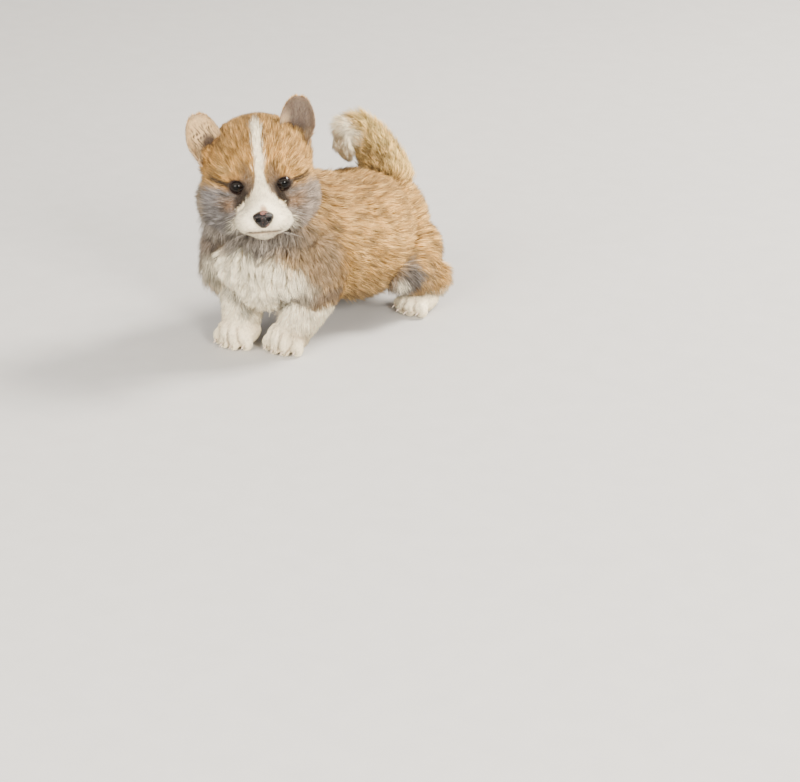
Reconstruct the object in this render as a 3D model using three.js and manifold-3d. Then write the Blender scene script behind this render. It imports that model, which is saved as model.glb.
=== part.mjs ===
// A Pembroke Welsh Corgi puppy of about seven weeks as a still, life-size model. It stands on four
// short legs with its hindquarters a little lowered, its head turned to its left, both ears up and its
// tail curled forward over its back.
// Units are millimetres. +Z is up, the puppy faces -Y and its left side is +X.
// The solids reach to the tips of the coat. Each node is a blend of rounded masses, parted from its
// neighbours by a narrow gap. The bib, the backs of the thighs and the tail carry locks.
import * as THREE from "three";
import { mergeVertices } from "three/addons/utils/BufferGeometryUtils.js";
import Module from "manifold-3d";

const wasm = await Module();
wasm.setup();

// Driving dimensions
const WELD = 1e-3; // vertices closer than this are one
const FINENESS = 0.08; // most that a finished surface moves when its mesh is thinned
const GAP = 0.35; // free space between parts that meet
const CENTRE = [-2.6, -28.9]; // middle of the finished outline, which is moved to the origin
const SINK = 3; // how far the paws' masses pass the floor before they are cut flat

const EYES_AT = [19, -120, 158]; // midway between the eyeballs
const HEAD_TURN = 44; // degrees to the puppy's left
const HEAD_LIFT = 8; // degrees that the muzzle points up
const HEAD_TILT = 3; // degrees that the left side of the head is raised
const EYE_SPACING = 37.5;
const EYE_RADIUS = 7.5;
const EYE_RISE = 2;
const EYE_TURN = 9; // degrees that each eye looks outwards
const EYE_OPENING = [4.9, 3.9]; // half the width and half the height between the lids
const LID_THICKNESS = 1.1;

const EAR_LENGTH = 44;
const EAR_WIDTH = 31;
const EAR_THICKNESS = 4.5;
const EAR_PLACES = {
  left: { base: [31, 28, 27], tip: [39, 27, 72], facing: [0.1, -1, 0.1] },
  right: { base: [-37, 28, 19], tip: [-49, 27, 60], facing: [-0.1, -1, 0.1] },
};
const NOSTRIL_AT = [3.9, -43.5, -20]; // the left one, in the head's frame
const NOSTRIL_SIZE = [1.7, 3, 1.4];

const TOE_RADIUS = 6.6;
const TOE_SPREAD = 9.6; // between the middles of neighbouring toes
const WRIST_HEIGHT = 27;
const HOCK_HEIGHT = 25;
const CLAW_LENGTH = 7;
const CLAW_RADIUS = 1.7;
const CLAW_HEIGHT = 6.5;
const CLAW_DIP = 0.45; // fall for each unit ahead

// A lock's sections: their places along it, and their widths and thicknesses as shares of the widest
const LOCK_SHARES = [0, 0.3, 0.6, 0.85];
const LOCK_WIDTHS = [0.75, 1, 0.8, 0.42];
const LOCK_THICKNESS = 2.4;
const LOCK_SINK = 4; // depth of its root below the surface
const LOCK_LIFT = 5; // height of its tip above the surface
const LOCK_VARIATION = 0.3; // share by which length and width vary

const NECK_CUT = { normal: [0, -0.6, 0.8], height: 138 };

// For each kind of surface the size of its lattice, and how far it may move when its mesh is thinned
const BODY_MESH = { cell: 12.5, change: 0.4 };
const HEAD_MESH = { cell: 7.8, change: 0.4 };
const LEG_MESH = { cell: 9.5, change: 0.4 };
const PAW_MESH = { cell: 6.5, change: 0.4 };
const TAIL_MESH = { cell: 6.5, change: 0.3 };
const JAW_MESH = { cell: 5, change: 0.2 };
const NOSE_MESH = { cell: 3, change: 0.1 };

const vec = (p) => new THREE.Vector3(...p);
const rad = THREE.MathUtils.degToRad;
const LEFT = 1;
const RIGHT = -1;

// Fields: each tells how far a point lies outside a surface, and is negative inside it.
function ball(centre, radii, toLocal) {
  const p = new THREE.Vector3();
  const c = vec(centre);
  const r = vec(radii);
  return (x, y, z) => {
    p.set(x, y, z);
    if (toLocal) p.applyMatrix4(toLocal);
    const k0 = p.sub(c).divide(r).length();
    const k1 = p.divide(r).length();
    return k1 === 0 ? -Math.min(...radii) : (k0 * (k0 - 1)) / k1;
  };
}

function limb(a, ra, b, rb, toLocal) {
  const start = vec(a);
  const along = vec(b).sub(start);
  const p = new THREE.Vector3();
  return (x, y, z) => {
    p.set(x, y, z);
    if (toLocal) p.applyMatrix4(toLocal);
    p.sub(start);
    const t = THREE.MathUtils.clamp(p.dot(along) / along.lengthSq(), 0, 1);
    return p.addScaledVector(along, -t).length() - THREE.MathUtils.lerp(ra, rb, t);
  };
}

const chain = (points, radii) => points.slice(1).map((p, i) => limb(points[i], radii[i], p, radii[i + 1]));

// Joins fields with a fillet of about the size of softness.
function blend(softness, ...fields) {
  return (x, y, z) => {
    let d = fields[0](x, y, z);
    for (const field of fields.slice(1)) {
      const e = field(x, y, z);
      const h = Math.max(softness - Math.abs(d - e), 0) / softness;
      d = Math.min(d, e) - (h * h * softness) / 4;
    }
    return d;
  };
}

function slope(field, x, y, z, step = 0.2) {
  return new THREE.Vector3(
    field(x + step, y, z) - field(x - step, y, z),
    field(x, y + step, z) - field(x, y - step, z),
    field(x, y, z + step) - field(x, y, z - step),
  ).normalize();
}

// Turns a field into a closed mesh. Each lattice cell that the surface crosses gets one vertex.
function skin(shape, low, high, cell) {
  const walls = (p) => p.map((c, k) => Math.max(low[k] + cell - c, c - high[k] + cell));
  const field = (...p) => Math.max(shape(...p), ...walls(p));
  const n = low.map((lo, k) => Math.ceil((high[k] - lo) / cell) + 1);
  const step = [1, n[0], n[0] * n[1]];
  const value = new Float32Array(n[0] * n[1] * n[2]);
  const place = (index) => step.map((s, k) => low[k] + (Math.floor(index / s) % n[k]) * cell);
  for (let i = 0; i < value.length; i++) value[i] = field(...place(i));
  const inside = (i) => value[i] < 0;
  const vertexOf = new Map();
  const points = [];
  for (let base = 0; base < value.length - step[2] - step[1] - 1; base++) {
    const sum = [0, 0, 0];
    let crossings = 0;
    for (let axis = 0; axis < 3; axis++) {
      const [u, v] = [(axis + 1) % 3, (axis + 2) % 3];
      for (const [a, b] of [[0, 0], [1, 0], [0, 1], [1, 1]]) {
        const from = base + a * step[u] + b * step[v];
        const to = from + step[axis];
        if (inside(from) === inside(to)) continue;
        sum[axis] += value[from] / (value[from] - value[to]);
        sum[u] += a;
        sum[v] += b;
        crossings++;
      }
    }
    if (!crossings) continue;
    vertexOf.set(base, points.length);
    points.push(place(base).map((p, k) => p + (sum[k] / crossings) * cell));
  }
  for (const p of points)
    for (let round = 0; round < 3; round++) {
      const out = slope(field, ...p);
      const move = THREE.MathUtils.clamp(-field(...p), -0.3 * cell, 0.3 * cell);
      out.toArray().forEach((o, k) => (p[k] += o * move));
    }
  const faces = [];
  const span = (a, b) => vec(points[a]).distanceTo(vec(points[b]));
  for (const base of vertexOf.keys())
    for (let axis = 0; axis < 3; axis++) {
      if (inside(base) === inside(base + step[axis])) continue;
      const [u, v] = [step[(axis + 1) % 3], step[(axis + 2) % 3]];
      const ring = [base, base - u, base - u - v, base - v].map((c) => vertexOf.get(c));
      const [a, b, c, d] = inside(base) ? ring : ring.reverse();
      faces.push(...(span(a, c) < span(b, d) ? [a, b, c, a, c, d] : [a, b, d, b, c, d]));
    }
  return new THREE.BufferGeometry()
    .setAttribute("position", new THREE.Float32BufferAttribute(points.flat(), 3))
    .setIndex(faces);
}

// Solids: closed geometries that can be joined and cut.
function welded(geometry) {
  const g = geometry.clone();
  g.deleteAttribute("normal");
  g.deleteAttribute("uv");
  return mergeVertices(g, WELD);
}

function solid(geometry) {
  const g = welded(geometry);
  return new wasm.Manifold(
    new wasm.Mesh({
      numProp: 3,
      vertProperties: new Float32Array(g.attributes.position.array),
      triVerts: new Uint32Array(g.index.array),
    }),
  );
}

function geometryOf(shape) {
  const mesh = shape.getMesh();
  return new THREE.BufferGeometry()
    .setAttribute("position", new THREE.BufferAttribute(new Float32Array(mesh.vertProperties), 3))
    .setIndex(new THREE.BufferAttribute(new Uint32Array(mesh.triVerts), 1));
}

// The same solid with its surface moved outwards, used to leave a gap around it.
function swollen(shape, by = GAP) {
  const g = geometryOf(shape);
  g.computeVertexNormals();
  const p = new THREE.Vector3();
  const n = new THREE.Vector3();
  for (let i = 0; i < g.attributes.position.count; i++) {
    n.fromBufferAttribute(g.attributes.normal, i);
    p.fromBufferAttribute(g.attributes.position, i).addScaledVector(n, by);
    g.attributes.position.setXYZ(i, ...p);
  }
  return solid(g);
}

const largest = (s) => s.decompose().reduce((a, b) => (b.volume() > a.volume() ? b : a));

// Locks of long coat: flat, tapered strips that leave the surface at their roots and bend along it.
function seeded(seed) {
  let state = seed;
  return () => {
    state = (state * 16807) % 2147483647;
    return state / 2147483647;
  };
}

// Where a ray from inside a field leaves it
function exit(field, from, towards) {
  const ray = towards.clone().normalize();
  let [near, far] = [0, 120];
  while (far - near > 0.1) {
    const middle = (near + far) / 2;
    if (field(...from.clone().addScaledVector(ray, middle)) < 0) near = middle;
    else far = middle;
  }
  return from.clone().addScaledVector(ray, near);
}

function lock(field, { root, lie, length, width }, grow) {
  const spine = [...LOCK_SHARES, 1].map((share) => {
    const at = root.clone().addScaledVector(lie, length * share);
    for (let round = 0; round < 4; round++) at.addScaledVector(slope(field, ...at), -field(...at));
    const out = slope(field, ...at);
    return { out, at: at.addScaledVector(out, share === 0 ? -LOCK_SINK : LOCK_LIFT * share ** 0.7) };
  });
  const positions = [];
  LOCK_SHARES.forEach((share, i) => {
    const { at, out } = spine[i];
    const along = spine[i + 1].at.clone().sub(spine[Math.max(i - 1, 0)].at).normalize();
    const side = new THREE.Vector3().crossVectors(out, along).normalize();
    const up = new THREE.Vector3().crossVectors(along, side);
    const wide = (width * LOCK_WIDTHS[i]) / 2 + grow;
    const thick = (LOCK_THICKNESS * LOCK_WIDTHS[i]) / 2 + grow;
    for (const [a, b] of [[wide, 0], [0, thick], [-wide, 0], [0, -thick]])
      positions.push(...at.clone().addScaledVector(side, a).addScaledVector(up, b));
  });
  const tip = spine.at(-1).at.clone();
  tip.addScaledVector(tip.clone().sub(spine.at(-2).at).normalize(), 2 * grow);
  positions.push(...tip);
  const sides = 4;
  const last = sides * (LOCK_SHARES.length - 1);
  const faces = [0, 2, 1, 0, 3, 2];
  for (let i = 0; i < sides; i++) {
    const next = (i + 1) % sides;
    for (let ring = 0; ring < last; ring += sides) {
      const [a, b] = [ring + i, ring + next];
      faces.push(a, b, b + sides, a, b + sides, a + sides);
    }
    faces.push(last + i, last + next, last + sides);
  }
  const strip = new THREE.BufferGeometry()
    .setAttribute("position", new THREE.Float32BufferAttribute(positions, 3))
    .setIndex(faces);
  return solid(strip);
}

// A core with locks joined to it, and the same a little larger to leave a gap around it
function coated(core, field, locks) {
  const joined = (body, grow) => wasm.Manifold.union([body, ...locks.map((l) => lock(field, l, grow))]);
  return { whole: joined(core, 0), clear: joined(swollen(core), GAP) };
}

// Roots of locks in staggered rows. ray(row, place) gives where each is looked for and how it lies, with
// row and place running from 0 to 1.
function rowsOfLocks(field, rows, perRow, { length, width }, seed, ray) {
  const random = seeded(seed);
  const vary = () => 1 + LOCK_VARIATION * (random() - 0.5);
  const locks = [];
  for (let row = 0; row < rows; row++)
    for (let i = 0; i < perRow; i++) {
      const place = (i + 0.25 + 0.5 * (row % 2) + 0.2 * (random() - 0.5)) / perRow;
      const { from, towards, lie } = ray((row + 0.3 * (random() - 0.5)) / Math.max(rows - 1, 1), place);
      const root = exit(field, from, towards);
      const out = slope(field, ...root);
      const flat = lie.clone().addScaledVector(out, -lie.dot(out)).normalize();
      locks.push({ root, lie: flat, length: length * vary(), width: width * vary() });
    }
  return locks;
}

// The head's own frame: its origin is midway between the eyeballs and its nose points to -Y.
const headPlace = new THREE.Matrix4().compose(
  vec(EYES_AT),
  new THREE.Quaternion().setFromEuler(
    new THREE.Euler(rad(-HEAD_LIFT), rad(-HEAD_TILT), rad(HEAD_TURN), "ZXY"),
  ),
  vec([1, 1, 1]),
);
const toHead = headPlace.clone().invert();
const onHead = (geometry) => geometry.clone().applyMatrix4(headPlace);

// Masses of the trunk
const RIBS = ball([-1, -38, 88], [60, 62, 60]);
const BELLY = ball([4, 14, 75], [60, 60, 62]);
const RUMP = ball([0, 56, 72], [49, 47, 52]);
const FORECHEST = ball([-4, -86, 80], [54, 34, 46]);
const WITHERS = ball([0, -64, 118], [47, 42, 36]);
const NECK = limb([0, -70, 120], 44, [-6, -90, 150], 37);
const trunk = blend(18, RIBS, BELLY, RUMP, FORECHEST, WITHERS, NECK);

// Legs: the muscle of the shoulder or thigh, the line from there down to the foot, the foot's middle
// and how far it turns to the puppy's left
const FORE_RADII = [26, 22, 19];
const HIND_RADII = [26, 21, 20];
const FORE_FOOT = [20, 22, 16]; // half the width, half the length and the height
const HIND_FOOT = [18, 23, 13];
const LEGS = [
  {
    name: "fore",
    side: "left",
    muscle: { at: [40, -70, 72], size: [25, 32, 40] },
    line: [[36, -66, 74], [32, -70, 48], [22, -82, 22]],
    radii: FORE_RADII,
    foot: [18, -88],
    size: FORE_FOOT,
    turn: 12,
    finish: "white",
    cut: WRIST_HEIGHT,
  },
  {
    name: "fore",
    side: "right",
    muscle: { at: [-50, -84, 74], size: [27, 34, 42] },
    line: [[-40, -80, 74], [-37, -84, 48], [-27, -98, 22]],
    radii: FORE_RADII,
    foot: [-24, -105],
    size: FORE_FOOT,
    turn: 8,
    finish: "white",
    cut: WRIST_HEIGHT,
  },
  {
    name: "hind",
    side: "left",
    muscle: { at: [38, 56, 54], size: [29, 36, 35] },
    line: [[36, 60, 52], [49, 28, 45], [46, 74, 26]],
    radii: HIND_RADII,
    foot: [47, 54],
    size: HIND_FOOT,
    turn: -6,
    finish: "fawn",
    cut: HOCK_HEIGHT,
  },
  {
    name: "hind",
    side: "right",
    muscle: { at: [-38, 56, 54], size: [29, 36, 35] },
    line: [[-36, 60, 52], [-48, 32, 45], [-46, 76, 26]],
    radii: HIND_RADII,
    foot: [-46, 56],
    size: HIND_FOOT,
    turn: -6,
    finish: "fawn",
    cut: HOCK_HEIGHT,
  },
];

const headingOf = ({ turn }) => new THREE.Vector3(0, -1, 0).applyAxisAngle(vec([0, 0, 1]), rad(turn));

// Where each toe of a foot stands, from the innermost to the outermost
function toesOf(leg) {
  const [x, y] = leg.foot;
  const heading = headingOf(leg);
  const side = new THREE.Vector3(-heading.y, heading.x, 0);
  return [-1.5, -0.5, 0.5, 1.5].map((place) => {
    const reach = leg.size[1] * (Math.abs(place) < 1 ? 0.62 : 0.4);
    return vec([x, y, 0]).addScaledVector(heading, reach).addScaledVector(side, place * TOE_SPREAD);
  });
}

function footField(leg) {
  const { foot: [x, y], size: [width, length, height] } = leg;
  const toe = ({ x, y }) => ball([x, y, height * 0.55], [TOE_RADIUS, TOE_RADIUS, height * 0.6 + SINK / 2]);
  return blend(4, ball([x, y, height - SINK], [width, length, height]), ...toesOf(leg).map(toe));
}

const legField = (leg) =>
  blend(9, ball(leg.muscle.at, leg.muscle.size), ...chain(leg.line, leg.radii), footField(leg));

// Masses of the head, in its own frame
const head = blend(
  10,
  ball([0, 33, 12], [47, 47, 45], toHead),
  ball([29, 24, -13], [22, 29, 27], toHead),
  ball([-32, 24, -13], [23, 29, 27], toHead),
  limb([0, 6, -4], 18, [0, -27, -15], 11.5, toHead),
  ball([11, -20, -25], [16, 19, 13], toHead),
  ball([-11, -20, -25], [16, 19, 13], toHead),
);
const jaw = ball([0, -15, -34], [15, 19, 11], toHead);
const nose = ball([0, -38, -19.5], [8.2, 6, 7], toHead);

// The tail rises from the rump, curls forward and hangs its tip above the back.
const TAIL = [
  [0, 70, 104],
  [0, 62, 126],
  [-1, 48, 148],
  [-4, 34, 165],
  [-9, 18, 169],
  [-14, 14, 154],
  [-15, 17, 144],
];
const TAIL_RADII = [19, 16, 13, 9, 8, 7.5, 5];
const TAIL_PARTS = [
  { name: "tail_root", finish: "fawn", points: [0, 3], rows: 3, start: 0.12, end: 0.34 },
  { name: "tail_curl", finish: "fawn", points: [2, 5], rows: 2, start: 0.47, end: 0.6 },
  { name: "tail_tip", finish: "white", points: [4, 7], rows: 2, start: 0.75, end: 0.88 },
];

// Locks of the bib: rows from the throat down over the forechest
const BIB_FROM = vec([-3, -66, 96]);
const bib = rowsOfLocks(trunk, 5, 5, { length: 34, width: 18 }, 13, (row, place) => {
  const around = rad(THREE.MathUtils.lerp(-62, 62, place));
  const rise = rad(THREE.MathUtils.lerp(30, -42, row));
  const level = vec([Math.sin(around), -Math.cos(around), 0]);
  return {
    from: BIB_FROM,
    towards: level.clone().multiplyScalar(Math.cos(rise)).setZ(Math.sin(rise)),
    lie: vec([0.35 * Math.sin(around), -0.1, -1]),
  };
});

// Locks of the breeches, on the back of one thigh
const breeches = (leg) =>
  rowsOfLocks(legField(leg), 2, 3, { length: 30, width: 17 }, 37, (row, place) => {
    const around = rad(THREE.MathUtils.lerp(-40, 60, place)) * Math.sign(leg.foot[0]);
    return {
      from: vec(leg.muscle.at),
      towards: vec([Math.sin(around), Math.cos(around), THREE.MathUtils.lerp(0.5, -0.25, row)]),
      lie: vec([0, 0.25, -1]),
    };
  });

// Locks of one length of the tail, lying along it towards its tip
const tailLine = new THREE.CatmullRomCurve3(TAIL.map(vec));
const plume = (field, rows, start, end, seed) =>
  rowsOfLocks(field, rows, 4, { length: 27, width: 14 }, seed, (row, place) => {
    const share = THREE.MathUtils.clamp(THREE.MathUtils.lerp(start, end, row), 0, 1);
    const along = tailLine.getTangentAt(share);
    const side = new THREE.Vector3().crossVectors(along, vec([1, 0.2, 0])).normalize();
    return {
      from: tailLine.getPointAt(share),
      towards: side.applyAxisAngle(along, 2 * Math.PI * place),
      lie: along,
    };
  });

// An ear is a leaf, cupped more at its base than at its tip. It stands along +Z and opens towards -Y.
function ear(width, length, thickness) {
  const [across, along] = [8, 7];
  const half = (t) => (width / 2) * (t < 0.45 ? 0.8 + 0.45 * t : Math.sqrt(1 - ((t - 0.45) / 0.57) ** 2));
  const point = (i, j, outer) => {
    const t = j / along;
    const s = (2 * i) / across - 1;
    const bend = THREE.MathUtils.lerp(1.35, 0.5, t);
    const radius = half(t) / Math.sin(bend);
    const depth = thickness * (1 - 0.75 * s ** 4) * (1 - 0.6 * t) * outer;
    return [
      (radius + depth) * Math.sin(s * bend),
      (radius + depth) * Math.cos(s * bend) - radius,
      t * length,
    ];
  };
  const positions = [];
  const at = (i, j, outer) => (outer * (along + 1) + j) * (across + 1) + i;
  for (const outer of [0, 1])
    for (let j = 0; j <= along; j++)
      for (let i = 0; i <= across; i++) positions.push(...point(i, j, outer));
  const faces = [];
  const quad = (a, b, c, d) => faces.push(a, b, c, a, c, d);
  for (let j = 0; j < along; j++)
    for (let i = 0; i < across; i++) {
      quad(at(i, j, 0), at(i + 1, j, 0), at(i + 1, j + 1, 0), at(i, j + 1, 0));
      quad(at(i, j, 1), at(i, j + 1, 1), at(i + 1, j + 1, 1), at(i + 1, j, 1));
    }
  for (let i = 0; i < across; i++) {
    quad(at(i, 0, 1), at(i + 1, 0, 1), at(i + 1, 0, 0), at(i, 0, 0));
    quad(at(i, along, 0), at(i + 1, along, 0), at(i + 1, along, 1), at(i, along, 1));
  }
  for (let j = 0; j < along; j++) {
    quad(at(0, j, 0), at(0, j + 1, 0), at(0, j + 1, 1), at(0, j, 1));
    quad(at(across, j, 1), at(across, j + 1, 1), at(across, j + 1, 0), at(across, j, 0));
  }
  return new THREE.BufferGeometry()
    .setAttribute("position", new THREE.Float32BufferAttribute(positions, 3))
    .setIndex(faces);
}

// Lays a shape drawn along +Z and open towards -Y from one point of the head towards another.
function laid(geometry, from, to, facing) {
  const z = vec(to).sub(vec(from)).normalize();
  const y = vec(facing).negate();
  y.addScaledVector(z, -y.dot(z)).normalize();
  const x = new THREE.Vector3().crossVectors(y, z);
  const turn = new THREE.Matrix4().makeBasis(x, y, z).setPosition(...from);
  return onHead(geometry.clone().applyMatrix4(turn));
}

const model = new THREE.Group();
const FINISHES = {
  fawn: ["#c39a69", 0.92],
  white: ["#e9e2d8", 0.92],
  ear: ["#8d7767", 0.9],
  leather: ["#1d1716", 0.45],
  eye: ["#120c0a", 0.08],
};

function add(name, finish, shape) {
  const body = largest(solid(geometryOf(shape.simplify(FINENESS))));
  const geometry = geometryOf(body).translate(-CENTRE[0], -CENTRE[1], 0);
  const [color, roughness] = FINISHES[finish];
  const node = new THREE.Mesh(geometry, new THREE.MeshStandardMaterial({ color, roughness, metalness: 0 }));
  node.name = name;
  model.add(node);
}

function moulded(field, low, high, { cell, change }) {
  return solid(skin(field, low, high, cell)).simplify(change);
}

// The head: sockets are opened in it for the eyes and a rim of lid is left around each.
const headBox = [[-70, -190, 80], [90, -30, 240]];
const headWhole = moulded(head, ...headBox, HEAD_MESH);
const headClear = swollen(headWhole);
const eyeAt = (side) => [(side * EYE_SPACING) / 2, 0, EYE_RISE];
const gaze = (side) => new THREE.Matrix4().makeRotationZ(rad(side * EYE_TURN)).setPosition(...eyeAt(side));

function lidRim(side) {
  const rim = new THREE.TorusGeometry(1, 0.5, 5, 14);
  const { position } = rim.attributes;
  for (let i = 0; i < position.count; i++) {
    const [x, z, swell] = [position.getX(i), position.getY(i), position.getZ(i)];
    const across = Math.hypot(x, z) - 1;
    const angle = Math.atan2(z, x);
    const p = vec([Math.cos(angle) * EYE_OPENING[0], 0, Math.sin(angle) * EYE_OPENING[1]]);
    p.multiplyScalar(1 + (across * 2 * LID_THICKNESS) / p.length());
    p.y = -Math.sqrt(EYE_RADIUS ** 2 - p.lengthSq());
    p.setLength(EYE_RADIUS + GAP + LID_THICKNESS * (1 + 2 * swell));
    position.setXYZ(i, ...p);
  }
  return solid(onHead(rim.applyMatrix4(gaze(side))));
}

function socket(side) {
  const depth = 18;
  const opening = new THREE.CylinderGeometry(1.5, 0.8, depth, 14).translate(0, depth / 2, 0);
  opening.rotateX(Math.PI).scale(EYE_OPENING[0], 1, EYE_OPENING[1]);
  return solid(onHead(opening.applyMatrix4(gaze(side))));
}

const eyes = [LEFT, RIGHT].map((side) =>
  solid(onHead(new THREE.SphereGeometry(EYE_RADIUS, 16, 8).translate(...eyeAt(side)))),
);
const noseWhole = moulded(nose, ...headBox, NOSE_MESH);
function nostril(side) {
  const [x, y, z] = NOSTRIL_AT;
  return solid(onHead(new THREE.SphereGeometry(1, 10, 8).scale(...NOSTRIL_SIZE).translate(side * x, y, z)));
}
const noseSolid = noseWhole.subtract(nostril(LEFT)).subtract(nostril(RIGHT));
const jawSolid = moulded(jaw, ...headBox, JAW_MESH);
let skull = headWhole;
[LEFT, RIGHT].forEach((side, i) => {
  skull = skull.subtract(socket(side)).add(lidRim(side)).subtract(swollen(eyes[i]));
});
add("head", "fawn", skull.subtract(swollen(noseWhole)));
add("eye_left", "eye", eyes[0]);
add("eye_right", "eye", eyes[1]);
add("nose", "leather", noseSolid);
add("jaw", "white", jawSolid.subtract(headClear));

// The ears
const earLeaf = ear(EAR_WIDTH, EAR_LENGTH, EAR_THICKNESS);
for (const [side, { base, tip, facing }] of Object.entries(EAR_PLACES))
  add(`ear_${side}`, "ear", solid(laid(earLeaf, base, tip, facing)).subtract(headClear));

// The trunk, parted into neck and torso by a slanting plane
const trunkBox = [[-90, -150, -6], [90, 130, 215]];
const trunkCore = moulded(trunk, ...trunkBox, BODY_MESH);
const trunkCoat = coated(trunkCore, trunk, bib);
const trunkRest = trunkCoat.whole.subtract(headClear).subtract(swollen(jawSolid));
const slant = NECK_CUT.normal.map((n) => -n);
add("torso", "fawn", trunkRest.trimByPlane(slant, -NECK_CUT.height + GAP));
add("neck", "fawn", trunkRest.trimByPlane(NECK_CUT.normal, NECK_CUT.height));

// A claw lies at the front of each toe, pointing ahead and a little down.
function claws(leg) {
  const heading = headingOf(leg);
  const down = heading.clone().setZ(-CLAW_DIP).normalize();
  return toesOf(leg).map((toe) => {
    const root = toe.addScaledVector(heading, TOE_RADIUS - CLAW_LENGTH * 0.55).setZ(CLAW_HEIGHT);
    const claw = new THREE.ConeGeometry(CLAW_RADIUS, CLAW_LENGTH, 6).translate(0, CLAW_LENGTH / 2, 0);
    claw.applyQuaternion(new THREE.Quaternion().setFromUnitVectors(vec([0, 1, 0]), down));
    return solid(claw.translate(...root));
  });
}

// The legs grow from the trunk, and a level cut parts each foot.
LEGS.forEach((leg) => {
  const { name, side, foot: [x, y], cut } = leg;
  const field = legField(leg);
  const box = [[x - 70, y - 60, -12], [x + 70, y + 80, 140]];
  const core = moulded(field, ...box, LEG_MESH);
  const upper = coated(core, field, name === "hind" ? breeches(leg) : []).whole;
  const paw = moulded(field, ...box, PAW_MESH).trimByPlane([0, 0, 1], 0);
  const lower = claws(leg).reduce((whole, claw) => whole.add(claw), paw).trimByPlane([0, 0, -1], -cut);
  const shank = upper.trimByPlane([0, 0, 1], cut + GAP);
  add(`${name}leg_${side}`, leg.finish, shank.subtract(trunkCoat.clear));
  add(`${name}paw_${side}`, "white", lower.subtract(trunkCoat.clear));
});

// The tail, in three lengths, each cut clear of the trunk and of the lengths before it
const tailBox = [[-60, -30, 60], [60, 130, 230]];
let taken = trunkCoat.clear;
TAIL_PARTS.forEach(({ name, finish, points, rows, start, end }, i) => {
  const field = blend(8, ...chain(TAIL.slice(...points), TAIL_RADII.slice(...points)));
  const core = moulded(field, ...tailBox, TAIL_MESH);
  const { whole, clear } = coated(core, field, plume(field, rows, start, end, 53 + i));
  add(name, finish, whole.subtract(taken));
  taken = taken.add(clear);
});
export default model;
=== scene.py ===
# %% [markdown]
# # A Pembroke Welsh Corgi puppy
#
# This lesson dresses a still, life-size model of a puppy of about seven weeks. The model's solids give its
# size and place, and they stay where they are. Here they are replaced by what the eye sees: one skin, a
# coat of many small tufts, glossy eyes with lids, a moist nose, ears, claws and whiskers.

# %% Load the fixed frame
import math
import bpy
import numpy as np
from mathutils import Matrix, Vector, noise
from mathutils.bvhtree import BVHTree
from mathutils.kdtree import KDTree


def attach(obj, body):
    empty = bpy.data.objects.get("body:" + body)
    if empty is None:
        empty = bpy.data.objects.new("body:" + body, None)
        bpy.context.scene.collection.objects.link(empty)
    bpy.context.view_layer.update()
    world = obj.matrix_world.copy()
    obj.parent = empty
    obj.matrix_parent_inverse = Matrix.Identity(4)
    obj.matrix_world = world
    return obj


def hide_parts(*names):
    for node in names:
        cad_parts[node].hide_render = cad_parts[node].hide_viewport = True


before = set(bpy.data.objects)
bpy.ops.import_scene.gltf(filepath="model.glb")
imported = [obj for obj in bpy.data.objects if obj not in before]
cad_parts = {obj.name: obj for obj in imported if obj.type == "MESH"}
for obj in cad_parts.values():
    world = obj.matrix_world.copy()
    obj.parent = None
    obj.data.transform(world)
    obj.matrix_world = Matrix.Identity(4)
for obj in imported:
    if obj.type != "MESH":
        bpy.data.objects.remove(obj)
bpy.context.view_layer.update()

# %% [markdown]
# ## The puppy's own axes
#
# Lengths are given in millimetres, as on the solids: x to the puppy's left, y towards its tail and z up.
# BODY turns them into metres in the frame. The head is turned, lifted and tilted, so it has axes of its
# own, with their origin midway between the eyeballs. A piece of the head is placed through HEAD.

# %% Axes of the body and of the head
MM = 0.001
MIDDLE = (2.6, 28.9, 0.0)
EYES_AT = (19, -120, 158)
HEAD_TURN, HEAD_LIFT, HEAD_TILT = 44, 8, 3

BODY = Matrix.Scale(MM, 4) @ Matrix.Translation(MIDDLE)
turned = Matrix.Rotation(math.radians(HEAD_TURN), 4, "Z")
lifted = Matrix.Rotation(math.radians(-HEAD_LIFT), 4, "X")
tilted = Matrix.Rotation(math.radians(-HEAD_TILT), 4, "Y")
HEAD = BODY @ Matrix.Translation(EYES_AT) @ turned @ lifted @ tilted


def in_axes(points, axes):
    """Points of the frame, in metres, given in the millimetres of the body or the head."""
    back = np.array(axes.inverted())
    return points @ back[:3, :3].T + back[:3, 3]


def out_of_axes(directions, axes):
    """Unit directions of the body or the head, given in the frame."""
    turn = np.array(axes)[:3, :3] / MM
    return directions @ turn.T


print("the eyes are at", [round(c, 3) for c in HEAD.translation])

# %% [markdown]
# ## Camera
#
# The puppy is seen from a little above and from its left front, with a small difference in size between near
# and far. That asks for a long lens at more than two metres. The camera looks slightly past the puppy, so
# that it stands left of the middle and high in the picture, as in the photograph.

# %% Camera
VIEW_AROUND, VIEW_ABOVE, VIEW_DISTANCE = 41, 22, 2.3
PHOTO_WIDTH = 800
FOCAL_PIXELS = 2576
SENSOR = 36
PAST_RIGHT, PAST_BELOW = 60 / FOCAL_PIXELS, 76 / FOCAL_PIXELS

around, above = math.radians(VIEW_AROUND), math.radians(VIEW_ABOVE)
level = Vector((math.sin(around), -math.cos(around), 0))
towards_camera = level * math.cos(above) + Vector((0, 0, math.sin(above)))
camera_right = Vector((math.cos(around), math.sin(around), 0))
camera_up = towards_camera.cross(camera_right)
bpy.ops.object.camera_add(location=BODY.translation + towards_camera * VIEW_DISTANCE)
camera = bpy.context.object
camera.name = "camera"
looks = camera_right * PAST_RIGHT - towards_camera - camera_up * PAST_BELOW
camera.rotation_euler = looks.to_track_quat("-Z", "Y").to_euler()
camera.data.sensor_width = SENSOR
camera.data.lens = FOCAL_PIXELS / PHOTO_WIDTH * SENSOR
bpy.context.scene.camera = camera
print("lens", round(camera.data.lens, 1), "mm")

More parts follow.
